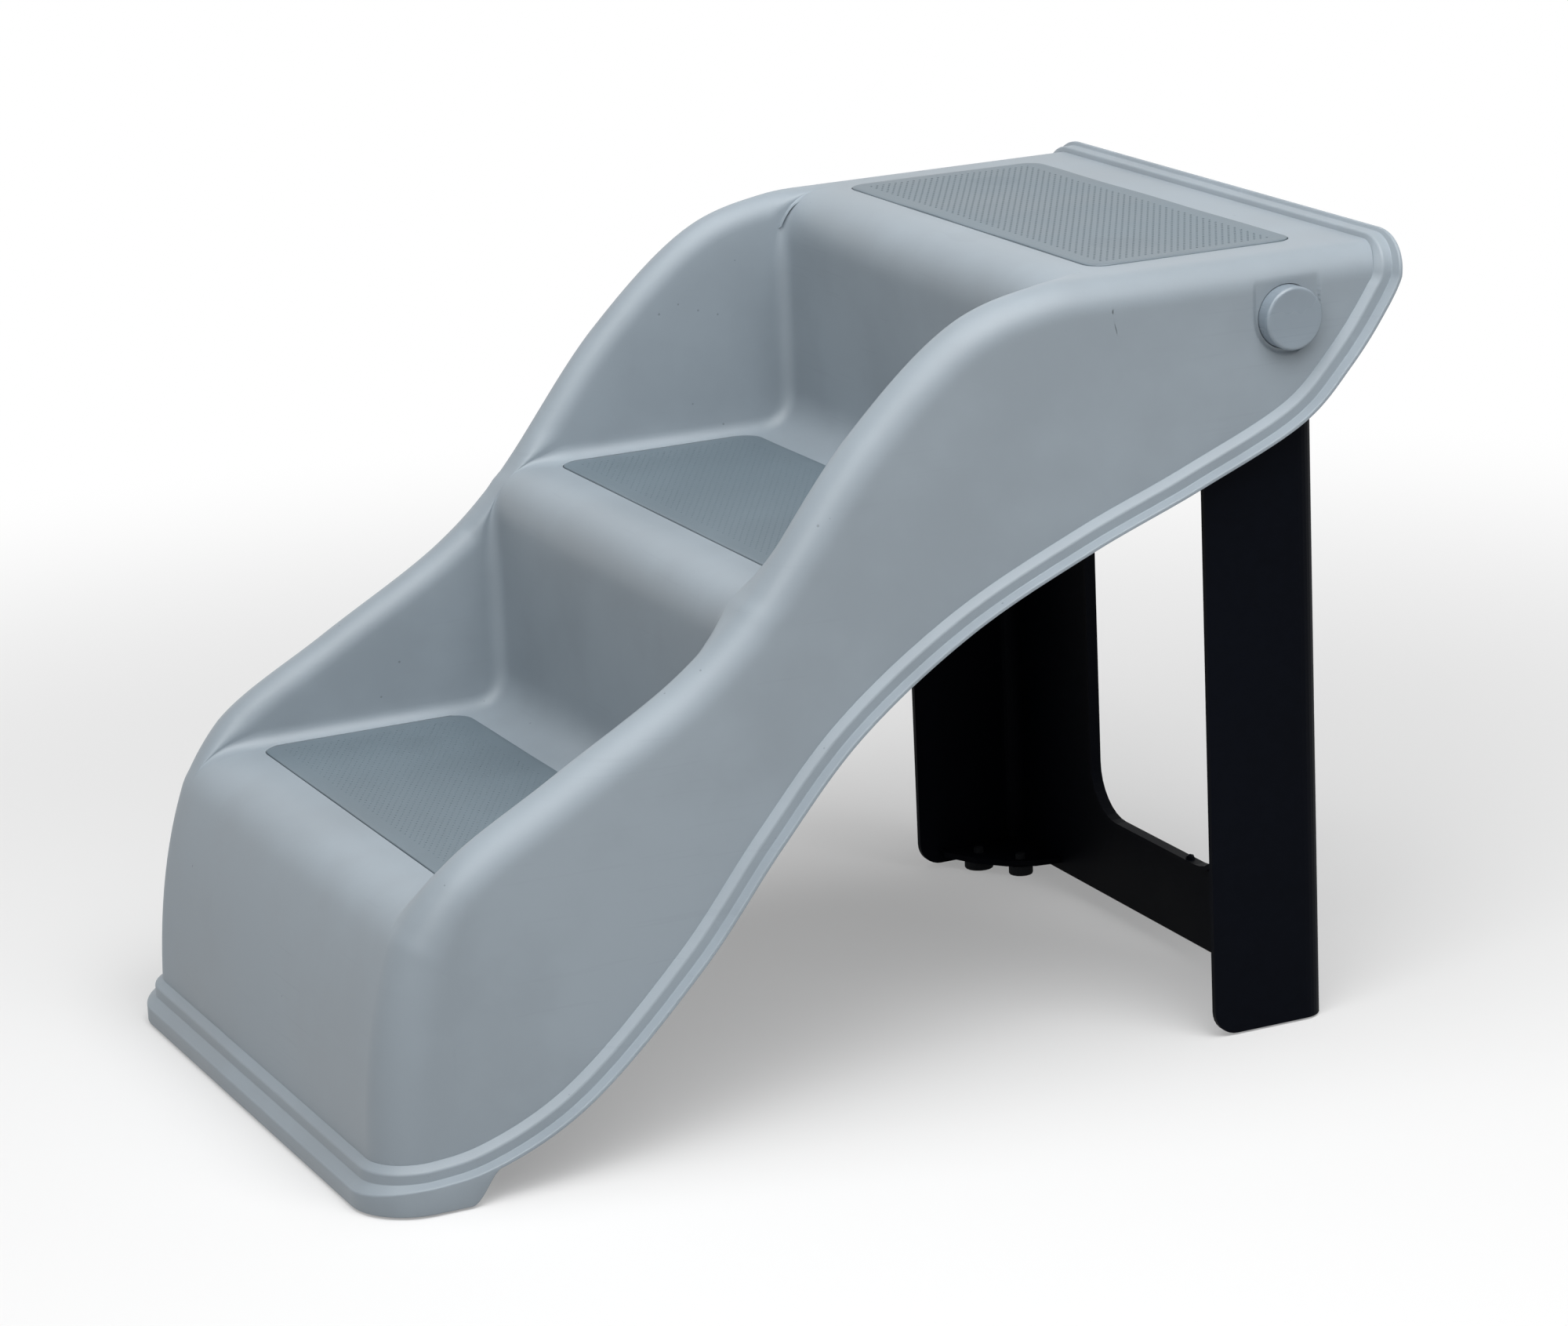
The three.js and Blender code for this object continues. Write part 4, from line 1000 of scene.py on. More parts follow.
@dataclass
class TreadMat:
    """A thin perforated pad with a plain border that lies in a tread's recess."""

    node: str
    wave: float
    hole: float
    depth: float
    pitch: float = 4.0 * MM
    border: float = 10 * MM
    corner: float = 11 * MM
    edge: float = 0.5 * MM
    sides: int = 8
    outline_points: int = 260
    relief_lines: Pair = (0.35, 0.65)
    ease_share: float = 0.3
    swells: tuple[Triple, ...] = ((34, 21, 1.3), (-17, 29, 0.4), (13, 61, 0))
    swell_share: float = 0.5

    def outline(self, low: Vector, high: Vector, inset: float) -> Grid:
        """The mat's outline drawn in by an amount, in points of even spacing.

        Args:
            low: The node's lowest corner.
            high: The node's highest corner.
            inset: How far it is drawn in.

        Returns:
            The outline's points, in X and Y.
        """
        line = rounded_rectangle(
            (low.x + inset, low.y + inset), (high.x - inset, high.y - inset), max(self.corner - inset, 2 * MM),
        )
        closed = np.vstack([line, line[:1]])
        run = np.concatenate([[0.0], np.cumsum(np.linalg.norm(np.diff(closed, axis=0), axis=1))])
        places = np.linspace(0, run[-1], self.outline_points, endpoint=False)
        return np.column_stack([np.interp(places, run, closed[:, axis]) for axis in (0, 1)])

    def hole_centres(self, low: Vector, high: Vector) -> Grid:
        """Centres of the staggered holes, in X and Y.

        Args:
            low: The node's lowest corner.
            high: The node's highest corner.

        Returns:
            One row for each hole.
        """
        row_gap = self.pitch * math.sqrt(3) / 2
        rows = int((high.y - low.y - 2 * self.border) / row_gap)
        columns = int((high.x - low.x - 2 * self.border) / self.pitch)
        start = ((low.x + high.x - columns * self.pitch) / 2, (low.y + high.y - rows * row_gap) / 2)
        return np.array([
            (start[0] + (column + row % 2 / 2) * self.pitch, start[1] + row * row_gap)
            for row in range(rows + 1) for column in range(columns + 1 - row % 2)
        ])

    def height(self, places: Grid, top: float) -> Grid:
        """The height of the top face, which lies a little unevenly.

        Args:
            places: Places in X and Y.
            top: The highest it can be.

        Returns:
            A height for each place.
        """
        x, y = places[:, 0], places[:, 1]
        first, second, third = (np.sin(along * x + across * y + start) for along, across, start in self.swells)
        swell = first * second + self.swell_share * third
        return top - self.wave * (1 + swell / (1 + self.swell_share)) / 2

    def pierced(self, flat: Grid, rims: Grid, relief: Grid) -> tuple[Grid, Grid, Grid]:
        """Fills the flat face with triangles and leaves the holes open.

        Args:
            flat: The face's outline.
            rims: The holes' corners, one hole after another.
            relief: More points, which carry the border's unevenness.

        Returns:
            The points, the triangles, and where each given point went.
        """
        plane = np.vstack([flat, rims, relief])
        owner = np.full(len(plane), -1)
        owner[len(flat):len(flat) + len(rims)] = np.arange(len(rims)) // self.sides
        spots, _, cells, origins, _, _ = delaunay_2d_cdt(
            [Vector(point) for point in plane], [], [list(range(len(flat)))], 1, NO_LENGTH,
        )
        went = np.zeros(len(plane), int)
        for index, given in enumerate(origins):
            went[given] = index
        owners = np.array([owner[given[0]] if given else -1 for given in origins])
        cells = np.array(cells)
        in_hole = (owners[cells] == owners[cells[:, :1]]).all(axis=1) & (owners[cells[:, 0]] >= 0)
        return np.array([tuple(spot) for spot in spots]), cells[~in_hole], went

    def edge_rings(self, low: Vector, high: Vector, flat: Grid) -> list[Grid]:
        """The rings of points down the mat's edge, from its eased top to its foot.

        Args:
            low: The node's lowest corner.
            high: The node's highest corner.
            flat: The face's outline.

        Returns:
            Each ring's points in space.
        """
        rings, eased, top = [], self.edge * self.ease_share, self.height(flat, high.z)
        for inset, level in ((eased, top - eased), (0.0, top - self.edge), (0.0, np.full(len(flat), low.z))):
            rings.append(np.column_stack([self.outline(low, high, inset), level]))
        return rings

    def build(self, finishes: Sequence[Material]) -> Piece:
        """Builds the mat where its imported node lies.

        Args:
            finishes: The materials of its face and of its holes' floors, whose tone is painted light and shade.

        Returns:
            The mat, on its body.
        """
        low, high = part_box(self.node)
        flat = self.outline(low, high, self.edge)
        relief = np.vstack([self.outline(low, high, share * self.border) for share in self.relief_lines])
        angles = (np.arange(self.sides) + 0.5) * 2 * math.pi / self.sides
        hole = self.hole * np.column_stack([np.cos(angles), np.sin(angles)])
        rims = (self.hole_centres(low, high)[:, None] + hole[None]).reshape(-1, 2)
        places, cells, went = self.pierced(flat, rims, relief)
        top = self.height(places, high.z)
        tops = went[len(flat):len(flat) + len(rims)]
        vertices = [np.column_stack([places, top]), np.column_stack([rims, top[tops] - self.depth])]
        base = len(places) + len(rims)
        floors = np.arange(len(places), base).reshape(-1, self.sides)
        faces = cells.tolist()
        for above, below in zip(tops.reshape(-1, self.sides), floors):
            faces += ring_faces(above, below).tolist()
        above = went[:len(flat)]
        for ring in self.edge_rings(low, high, flat):
            vertices.append(ring)
            below = base + np.arange(len(ring))
            faces += ring_faces(above, below)[:, [1, 0, 3, 2]].tolist()
            above, base = below, base + len(ring)
        faces.append(above[::-1].tolist())
        mat = mesh_object(f"{self.node}_pad", np.vstack(vertices), faces + floors.tolist())
        for finish in finishes:
            mat.data.materials.append(finish)
        # The holes' floors take the second finish, which paints their light and shade.
        for polygon in mat.data.polygons[len(faces):]:
            polygon.material_index = 1
        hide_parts(self.node)
        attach(mat, "shell")
        return mat


# The fold pivots and their lock buttons


PIVOT = (245 * MM, 405 * MM)


@dataclass
class LockButton:
    """A round push button: a cup with a rounded face edge and three lugs that lock the hub."""

    side: Side
    pivot: Pair = PIVOT
    radius: float = 17.5 * MM
    wall: float = 2.4 * MM
    edge: float = 1.8 * MM
    dish: float = 0.25 * MM
    face: float = 195.3 * MM
    foot: float = 166.9 * MM
    lug_reach: float = 23.4 * MM
    lug_width: float = 6 * MM
    lug_length: float = 4 * MM
    lug_angles: tuple[float, ...] = (90, 210, 330)
    edge_steps: int = 8
    dish_shares: tuple[float, ...] = (0.8, 0.6, 0.4, 0.2)

    def build(self, finish: Material) -> Piece:
        """Turns the cup and adds its lugs.

        Args:
            finish: The button's plastic.

        Returns:
            The button, on its body.
        """
        turns = np.linspace(0, QUARTER, self.edge_steps + 1)
        inner, face = self.radius - self.wall, self.face
        profile = [(0, face - self.wall), (inner - self.edge, face - self.wall)]
        profile += [(inner, face - self.wall - self.edge), (inner, self.foot), (self.radius, self.foot)]
        profile += [
            (self.radius - self.edge + self.edge * math.cos(turn), face - self.edge + self.edge * math.sin(turn))
            for turn in turns
        ]
        profile += [(self.radius * share, face - self.dish * (1 - share**2)) for share in self.dish_shares]
        profile += [(0, face - self.dish)]
        sign = self.side.value
        solid = turned([(radius, sign * place) for radius, place in profile], self.pivot, ROUND_SIDES)
        name = f"{self.side.name.lower()}_lock_button"
        button = solid_object(f"{name}_cup", solid)
        for angle in self.lug_angles:
            joined(button, self.lug(math.radians(angle)), Joining.ADD)
        soften(button)
        button.data.materials.clear()
        button.data.materials.append(finish)
        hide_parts(name)
        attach(button, f"{self.side.name.lower()}_button")
        return button

    def lug(self, angle: float) -> Piece:
        """One lug, a block that stands out of the cup's foot.

        Args:
            angle: Where it stands round the pivot, in radians.

        Returns:
            The lug as a closed mesh.
        """
        start, half = self.radius - self.wall / 2, self.lug_width / 2
        away = np.array([math.cos(angle), math.sin(angle)])
        across = np.array([-away[1], away[0]])
        corners = [(start, -half), (self.lug_reach, -half), (self.lug_reach, half), (start, half)]
        outline = np.array([np.array(self.pivot) + away * out + across * over for out, over in corners])
        low, high = sorted(self.side.value * place for place in (self.foot, self.foot + self.lug_length))
        return mesh_object("lug", *prism(outline, low, high, 1))


@dataclass
class ReturnSpring:
    """The coil spring behind a button, held on the housing side and shortened by the press."""

    side: Side
    pivot: Pair = PIVOT
    radius: float = 9.5 * MM
    wire: float = 0.7 * MM
    turns: float = 4
    travel: float = 4 * MM
    flat_end: Pair = (0.13, 0.03)
    steps: int = 192
    sides: int = 10

    def build(self, finish: Material) -> Piece:
        """Winds the wire between its flattened ends.

        Args:
            finish: The spring's steel.

        Returns:
            The spring, on the shell's body.
        """
        side = self.side.name.lower()
        node = f"{side}_button_spring"
        low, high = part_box(node)
        start, end = sorted((low.y, high.y), key=abs)
        inner, outer = start + self.side.value * self.wire, end - self.side.value * self.wire
        share = np.linspace(0, 1, self.steps + 1)
        flat, low_rise = self.flat_end
        rise = np.interp(share, (0, flat, 1 - flat, 1), (0, low_rise, 1 - low_rise, 1))
        turn = share * self.turns * 2 * math.pi
        away = np.column_stack([np.cos(turn), np.zeros(len(turn)), np.sin(turn)])
        middle = np.array([self.pivot[0], 0, self.pivot[1]]) + self.radius * away
        middle[:, 1] = inner + (outer - inner) * rise
        around = np.arange(self.sides) * 2 * math.pi / self.sides
        across = np.array([0.0, 1.0, 0.0])
        rings = middle[:, None] + self.wire * (
            np.cos(around)[None, :, None] * away[:, None] + np.sin(around)[None, :, None] * across
        )
        spring = solid_object(f"{node}_coil", capped_sweep(rings))
        spring.data.materials.append(finish)
        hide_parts(node)
        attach(spring, "shell")
        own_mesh(spring)
        return spring


# Finishes


@dataclass
class Wiring:
    """Adds and joins the nodes of one material or effect."""

    tree: Tree

    def add(self, kind: str, inputs: Inputs | None = None, **settings: object) -> Node:
        """Adds a node, sets its options and fills its inputs.

        Args:
            kind: The node's type.
            inputs: What goes into it.
            settings: Its options.

        Returns:
            The node.
        """
        node = self.tree.nodes.new(kind)
        for name, value in settings.items():
            setattr(node, name, value)
        self.fill(node, inputs or {})
        return node

    def fill(self, node: Node, inputs: Inputs) -> None:
        """Joins outputs to a node's inputs, or writes plain values on them.

        Args:
            node: The node.
            inputs: An output or a plain value for each input's name or number.
        """
        for name, value in inputs.items():
            if isinstance(value, Socket):
                self.tree.links.new(value, node.inputs[name])
            else:
                node.inputs[name].default_value = value

    def maths(self, kind: str, *values: object) -> Socket:
        """A sum done on outputs or plain numbers."""
        return self.add("ShaderNodeMath", dict(enumerate(values)), operation=kind).outputs[0]

    def between(self, value: object, low: object, high: object, start: float = 0, end: float = 1) -> Socket:
        """Maps a value softly from one span to another.

        Args:
            value: The value.
            low: Where its span starts.
            high: Where its span ends.
            start: Where the new span starts.
            end: Where the new span ends.

        Returns:
            The mapped value.
        """
        inputs = dict(enumerate((value, low, high, start, end)))
        return self.add("ShaderNodeMapRange", inputs, interpolation_type="SMOOTHSTEP").outputs[0]

    def blend(self, share: object, first: object, second: object) -> Socket:
        """Blends two colours by the second one's share."""
        return self.add("ShaderNodeMix", {0: share, 6: first, 7: second}, data_type="RGBA").outputs[2]

    def noise(self, place: Socket, scale: object, detail: float, rough: float = 0.5) -> Socket:
        """Cloudy noise at a place.

        Args:
            place: The place.
            scale: How fine it is.
            detail: How many finer layers it has.
            rough: How much they show.

        Returns:
            The noise, 0 to 1.
        """
        inputs = {"Vector": place, "Scale": scale, "Detail": detail, "Roughness": rough}
        return self.add("ShaderNodeTexNoise", inputs).outputs["Fac"]

    def stretched(self, place: Socket, turn: Sequence[float], size: Sequence[float]) -> Socket:
        """A place turned about each axis and stretched along it."""
        return self.add("ShaderNodeMapping", {"Vector": place, "Rotation": turn, "Scale": size}).outputs[0]


def blank_material(name: str) -> tuple[Material, Wiring, Node, Socket]:
    """Starts a material.

    Args:
        name: Its name.

    Returns:
        The material, its wiring, its shader and the place on the piece.
    """
    material = bpy.data.materials.new(name)
    material.use_nodes = True
    wiring = Wiring(material.node_tree)
    shader = material.node_tree.nodes["Principled BSDF"]
    return material, wiring, shader, wiring.add("ShaderNodeTexCoord").outputs["Object"]


class Effect(Enum):
    """Surface effects that several finishes share."""

    GRAIN = "moulded_grain"
    SPECKS = "dust_specks"
    SCUFFS = "fine_scuffs"
    # Lighter convex edges: rubbed wear, and painted highlight on rounded edges.
    WEAR_AND_HIGHLIGHT = "edge_wear"


class EffectShelf:
    """Builds each shared effect once and places it in materials."""

    fine_rough: float = 0.6
    cloud_rough: float = 0.55
    coarse_scale: float = 0.31
    coarse_share: float = 0.6
    scratches: tuple[Pair, ...] = ((0.5, 3.0), (-0.9, 5.0), (1.9, 8.0))
    scratch_stretch: Triple = (14, 14, 420)
    scratch_span: Pair = (0.685, 0.71)
    patch_stretch: Triple = (6, 6, 6)
    patch_span: Pair = (0.5, 0.62)
    wear_and_highlight_span: tuple[float, float, float, float] = (0.3, 0.7, 0.35, 1)

    def __init__(self) -> None:
        """Starts with nothing built."""
        self.built: dict[Effect, Tree] = {}
        self.makers: dict[Effect, Callable[[Tree], None]] = {
            Effect.GRAIN: self.make_grain, Effect.SPECKS: self.make_specks,
            Effect.SCUFFS: self.make_scuffs, Effect.WEAR_AND_HIGHLIGHT: self.make_wear_and_highlight,
        }

    def place(self, effect: Effect, wiring: Wiring, **values: object) -> Node:
        """Places an effect in a material.

        Args:
            effect: Which effect.
            wiring: The material's nodes.
            values: The effect's inputs.

        Returns:
            The placed group.
        """
        if effect not in self.built:
            group = bpy.data.node_groups.new(effect.value, "ShaderNodeTree")
            self.makers[effect](group)
            self.built[effect] = group
        return wiring.add("ShaderNodeGroup", values, node_tree=self.built[effect])

    @staticmethod
    def sockets(group: Tree, inputs: dict[str, float], outputs: Sequence[str]) -> tuple[Wiring, Node, Node]:
        """Names a group's inputs and outputs.

        Args:
            group: The new group.
            inputs: Each number's name and usual value; Place, a vector, is added to them.
            outputs: The outputs' names.

        Returns:
            The group's wiring, its input node and its output node.
        """
        group.interface.new_socket(name="Place", in_out="INPUT", socket_type="NodeSocketVector")
        for name, value in inputs.items():
            group.interface.new_socket(name=name, in_out="INPUT", socket_type="NodeSocketFloat").default_value = value
        for name in outputs:
            group.interface.new_socket(name=name, in_out="OUTPUT", socket_type="NodeSocketFloat")
        wiring = Wiring(group)
        return wiring, wiring.add("NodeGroupInput"), wiring.add("NodeGroupOutput")

    def make_grain(self, group: Tree) -> None:
        """Fine spark-eroded mould grain, with slow drifts in tone and sheen.

        Args:
            group: The new group.
        """
        wiring, given, made = self.sockets(group, {"Scale": 1400, "Cloud": 9}, ("Height", "Tone"))
        place, scale = given.outputs["Place"], given.outputs["Scale"]
        fine = wiring.noise(place, scale, 3, self.fine_rough)
        coarse = wiring.noise(place, wiring.maths("MULTIPLY", scale, self.coarse_scale), 2)
        wiring.fill(made, {
            "Height": wiring.maths("MULTIPLY_ADD", coarse, self.coarse_share, fine),
            "Tone": wiring.noise(place, given.outputs["Cloud"], 4, self.cloud_rough),
        })

    def make_specks(self, group: Tree) -> None:
        """Sparse tiny specks of dust and dirt.

        Args:
            group: The new group.
        """
        wiring, given, made = self.sockets(group, {"Scale": 160, "Share": 0.08, "Size": 0.12}, ("Mask",))
        inputs = {"Vector": given.outputs["Place"], "Scale": given.outputs["Scale"]}
        cells = wiring.add("ShaderNodeTexVoronoi", inputs)
        split = wiring.add("ShaderNodeSeparateColor", {0: cells.outputs["Color"]})
        kept = wiring.maths("LESS_THAN", split.outputs[0], given.outputs["Share"])
        reach = wiring.maths("MULTIPLY", split.outputs[1], given.outputs["Size"])
        dot = wiring.maths("LESS_THAN", cells.outputs["Distance"], reach)
        wiring.fill(made, {"Mask": wiring.maths("MULTIPLY", kept, dot)})

    def make_scuffs(self, group: Tree) -> None:
        """Thin scratches that run a few ways, gathered in patches.

        Args:
            group: The new group.
        """
        wiring, given, made = self.sockets(group, {"Scale": 1, "Amount": 0.5}, ("Mask",))
        inputs = {0: given.outputs["Place"], "Scale": given.outputs["Scale"]}
        scaled = wiring.add("ShaderNodeVectorMath", inputs, operation="SCALE").outputs[0]
        lines = []
        for turn, patch in self.scratches:
            place = wiring.stretched(scaled, (0, turn, 0), self.scratch_stretch)
            line = wiring.between(wiring.noise(place, 1.0, 1), *self.scratch_span)
            cloud = wiring.stretched(scaled, (0, 0, 0), self.patch_stretch)
            spread = wiring.add("ShaderNodeVectorMath", {0: cloud, 1: (patch,) * 3}, operation="ADD").outputs[0]
            patches = wiring.between(wiring.noise(spread, 1.0, 1), *self.patch_span)
            lines.append(wiring.maths("MULTIPLY", line, patches))
        total = wiring.maths("MAXIMUM", wiring.maths("MAXIMUM", lines[0], lines[1]), lines[2])
        wiring.fill(made, {"Mask": wiring.maths("MULTIPLY", total, given.outputs["Amount"])})

    def make_wear_and_highlight(self, group: Tree) -> None:
        """Lighter convex edges, broken up by noise: rubbed wear, and painted highlight where a finish turns it up.

        Args:
            group: The new group.
        """
        wiring, given, made = self.sockets(group, {"Start": 0.53, "End": 0.6, "Scale": 120}, ("Mask",))
        point = wiring.add("ShaderNodeNewGeometry").outputs["Pointiness"]
        rubbed_and_lit = wiring.between(point, given.outputs["Start"], given.outputs["End"])
        broken = wiring.between(wiring.noise(given.outputs["Place"], given.outputs["Scale"], 3), *self.wear_and_highlight_span)
        wiring.fill(made, {"Mask": wiring.maths("MULTIPLY", rubbed_and_lit, broken)})


@dataclass(frozen=True)
class MouldedPlastic:
    """A moulded plastic: its colour, drifts in tone, grain, specks, scuffs, and lighter edges that are rubbed wear and
    painted highlight.
    """

    name: str
    colour: Colour
    roughness: float = 0.45
    specular: float = 0.5
    drift: float = 0.06
    grain_scale: float = 1400
    grain_height: float = 0.12
    speck_share: float = 0.05
    speck_dark: float = 0.5
    scuff: float = 0.25
    # How far convex edges lighten: rubbed wear, and painted highlight where it is raised.
    wear_and_highlight: float = 0.12
    coat: float = 0.0
    tone_span: Pair = (0.35, 0.65)
    rubbed_and_lit_tone: float = 1.5
    scratched_tone: float = 0.7
    speck_tone: float = 0.35
    sheen_span: Pair = (0.3, 0.7)
    sheen_drift: float = 0.05
    scuff_roughness: float = 0.15
    grain_depth: float = 0.2 * MM
    coat_roughness: float = 0.12

    def build(self, shelf: EffectShelf) -> Material:
        """Builds the material.

        Args:
            shelf: The shared effects.

        Returns:
            The material.
        """
        material, wiring, shader, place = blank_material(self.name)
        grain = shelf.place(Effect.GRAIN, wiring, Place=place, Scale=self.grain_scale)
        specks = shelf.place(Effect.SPECKS, wiring, Place=place, Share=self.speck_share)
        scuffs = shelf.place(Effect.SCUFFS, wiring, Place=place, Amount=self.scuff)
        wear_and_highlight = shelf.place(Effect.WEAR_AND_HIGHLIGHT, wiring, Place=place)
        light, dark = self.shade(1 + self.drift), self.shade(1 - self.drift)
        tone = wiring.blend(wiring.between(grain.outputs["Tone"], *self.tone_span), dark, light)
        # Convex edges lightened towards a paler tone: rubbed wear, and painted highlight.
        worn_and_lit = wiring.maths("MULTIPLY", wear_and_highlight.outputs["Mask"], self.wear_and_highlight)
        rubbed_and_lit = wiring.blend(worn_and_lit, tone, self.shade(self.rubbed_and_lit_tone))
        scratched = wiring.blend(scuffs.outputs["Mask"], rubbed_and_lit, self.shade(self.scratched_tone))
        dusty = wiring.maths("MULTIPLY", specks.outputs["Mask"], self.speck_dark)
        smoother, rougher = self.roughness - self.sheen_drift, self.roughness + self.sheen_drift
        sheen = wiring.between(grain.outputs["Tone"], *self.sheen_span, smoother, rougher)
        bump = wiring.add("ShaderNodeBump", {
            "Strength": self.grain_height, "Distance": self.grain_depth, "Height": grain.outputs["Height"],
        })
        wiring.fill(shader, {
            "Base Color": wiring.blend(dusty, scratched, self.shade(self.speck_tone)),
            "Roughness": wiring.maths("MULTIPLY_ADD", scuffs.outputs["Mask"], self.scuff_roughness, sheen),
            "Normal": bump.outputs[0],
            "Specular IOR Level": self.specular,
            "Coat Weight": self.coat,
            "Coat Roughness": self.coat_roughness,
        })
        return material

    def shade(self, factor: float) -> tuple[float, float, float, float]:
        """The colour made lighter or darker."""
        return (*(min(1.0, part * factor) for part in self.colour), 1.0)


@dataclass(frozen=True)
class Metal:
    """Plain bright steel with fine turning marks."""

    name: str
    colour: Colour
    roughness: float
    mark_scale: float = 2600
    cloud_scale: float = 60
    dark_tone: float = 0.85
    mark_span: Pair = (0.4, 1.2)
    sheen_drift: float = 0.08

    def build(self, shelf: EffectShelf) -> Material:
        """Builds the material.

        Args:
            shelf: The shared effects.

        Returns:
            The material.
        """
        material, wiring, shader, place = blank_material(self.name)
        grain = shelf.place(Effect.GRAIN, wiring, Place=place, Scale=self.mark_scale, Cloud=self.cloud_scale)
        light, dark = ((*(part * factor for part in self.colour), 1.0) for factor in (1.0, self.dark_tone))
        smoother, rougher = self.roughness - self.sheen_drift, self.roughness + self.sheen_drift
        wiring.fill(shader, {
            "Base Color": wiring.blend(grain.outputs["Tone"], dark, light),
            "Roughness": wiring.between(grain.outputs["Height"], *self.mark_span, smoother, rougher),
            "Metallic": 1.0,
        })
        return material


SHELL_PLASTIC = MouldedPlastic("grey_moulded_plastic", srgb(138, 148, 156), scuff=0.07)
BUTTON_PLASTIC = MouldedPlastic(
    "glossy_button_plastic", srgb(126, 138, 148), roughness=0.28, grain_height=0.03, speck_share=0.01, scuff=0.1,
    wear_and_highlight=0.3, coat=0.3,
)
# The legs' strong edge lightening is a painted highlight along their rounded rear edges.
LEG_PLASTIC = MouldedPlastic(
    "near_black_leg_plastic", srgb(6, 8, 14), roughness=0.5, specular=0.03, drift=0.12, speck_dark=0.0, scuff=0.1,
    wear_and_highlight=0.6,
)
INNER_PLASTIC = MouldedPlastic("dark_inner_plastic", srgb(44, 45, 50), specular=0.3)
FOOT_RUBBER = MouldedPlastic(
    "black_foot_rubber", srgb(26, 28, 31), roughness=0.75, specular=0.2, grain_scale=900, grain_height=0.3,
)
MAT_RUBBER = MouldedPlastic(
    "padded_mat_rubber", srgb(89, 103, 112), roughness=0.5, specular=0.9, drift=0.05, grain_scale=1100,
    grain_height=0.25, speck_share=0.03, scuff=0.12, wear_and_highlight=0.0,
)
# Hole floors of the upper mat: painted shade, standing in for the shade inside its holes.
MAT_HOLE_PAINTED_SHADE = MouldedPlastic("mat_hole_painted_shade", srgb(66, 80, 91), roughness=0.7, specular=0.2, scuff=0.0)
# Hole floors of the lower two mats: painted light, lighter specks where their holes catch light.
MAT_HOLE_PAINTED_LIGHT = MouldedPlastic("mat_hole_painted_light", srgb(112, 128, 137), roughness=0.6, specular=0.3, scuff=0.0)
STEEL = Metal("plain_steel", srgb(196, 199, 203), 0.35)


# Floor, light and camera


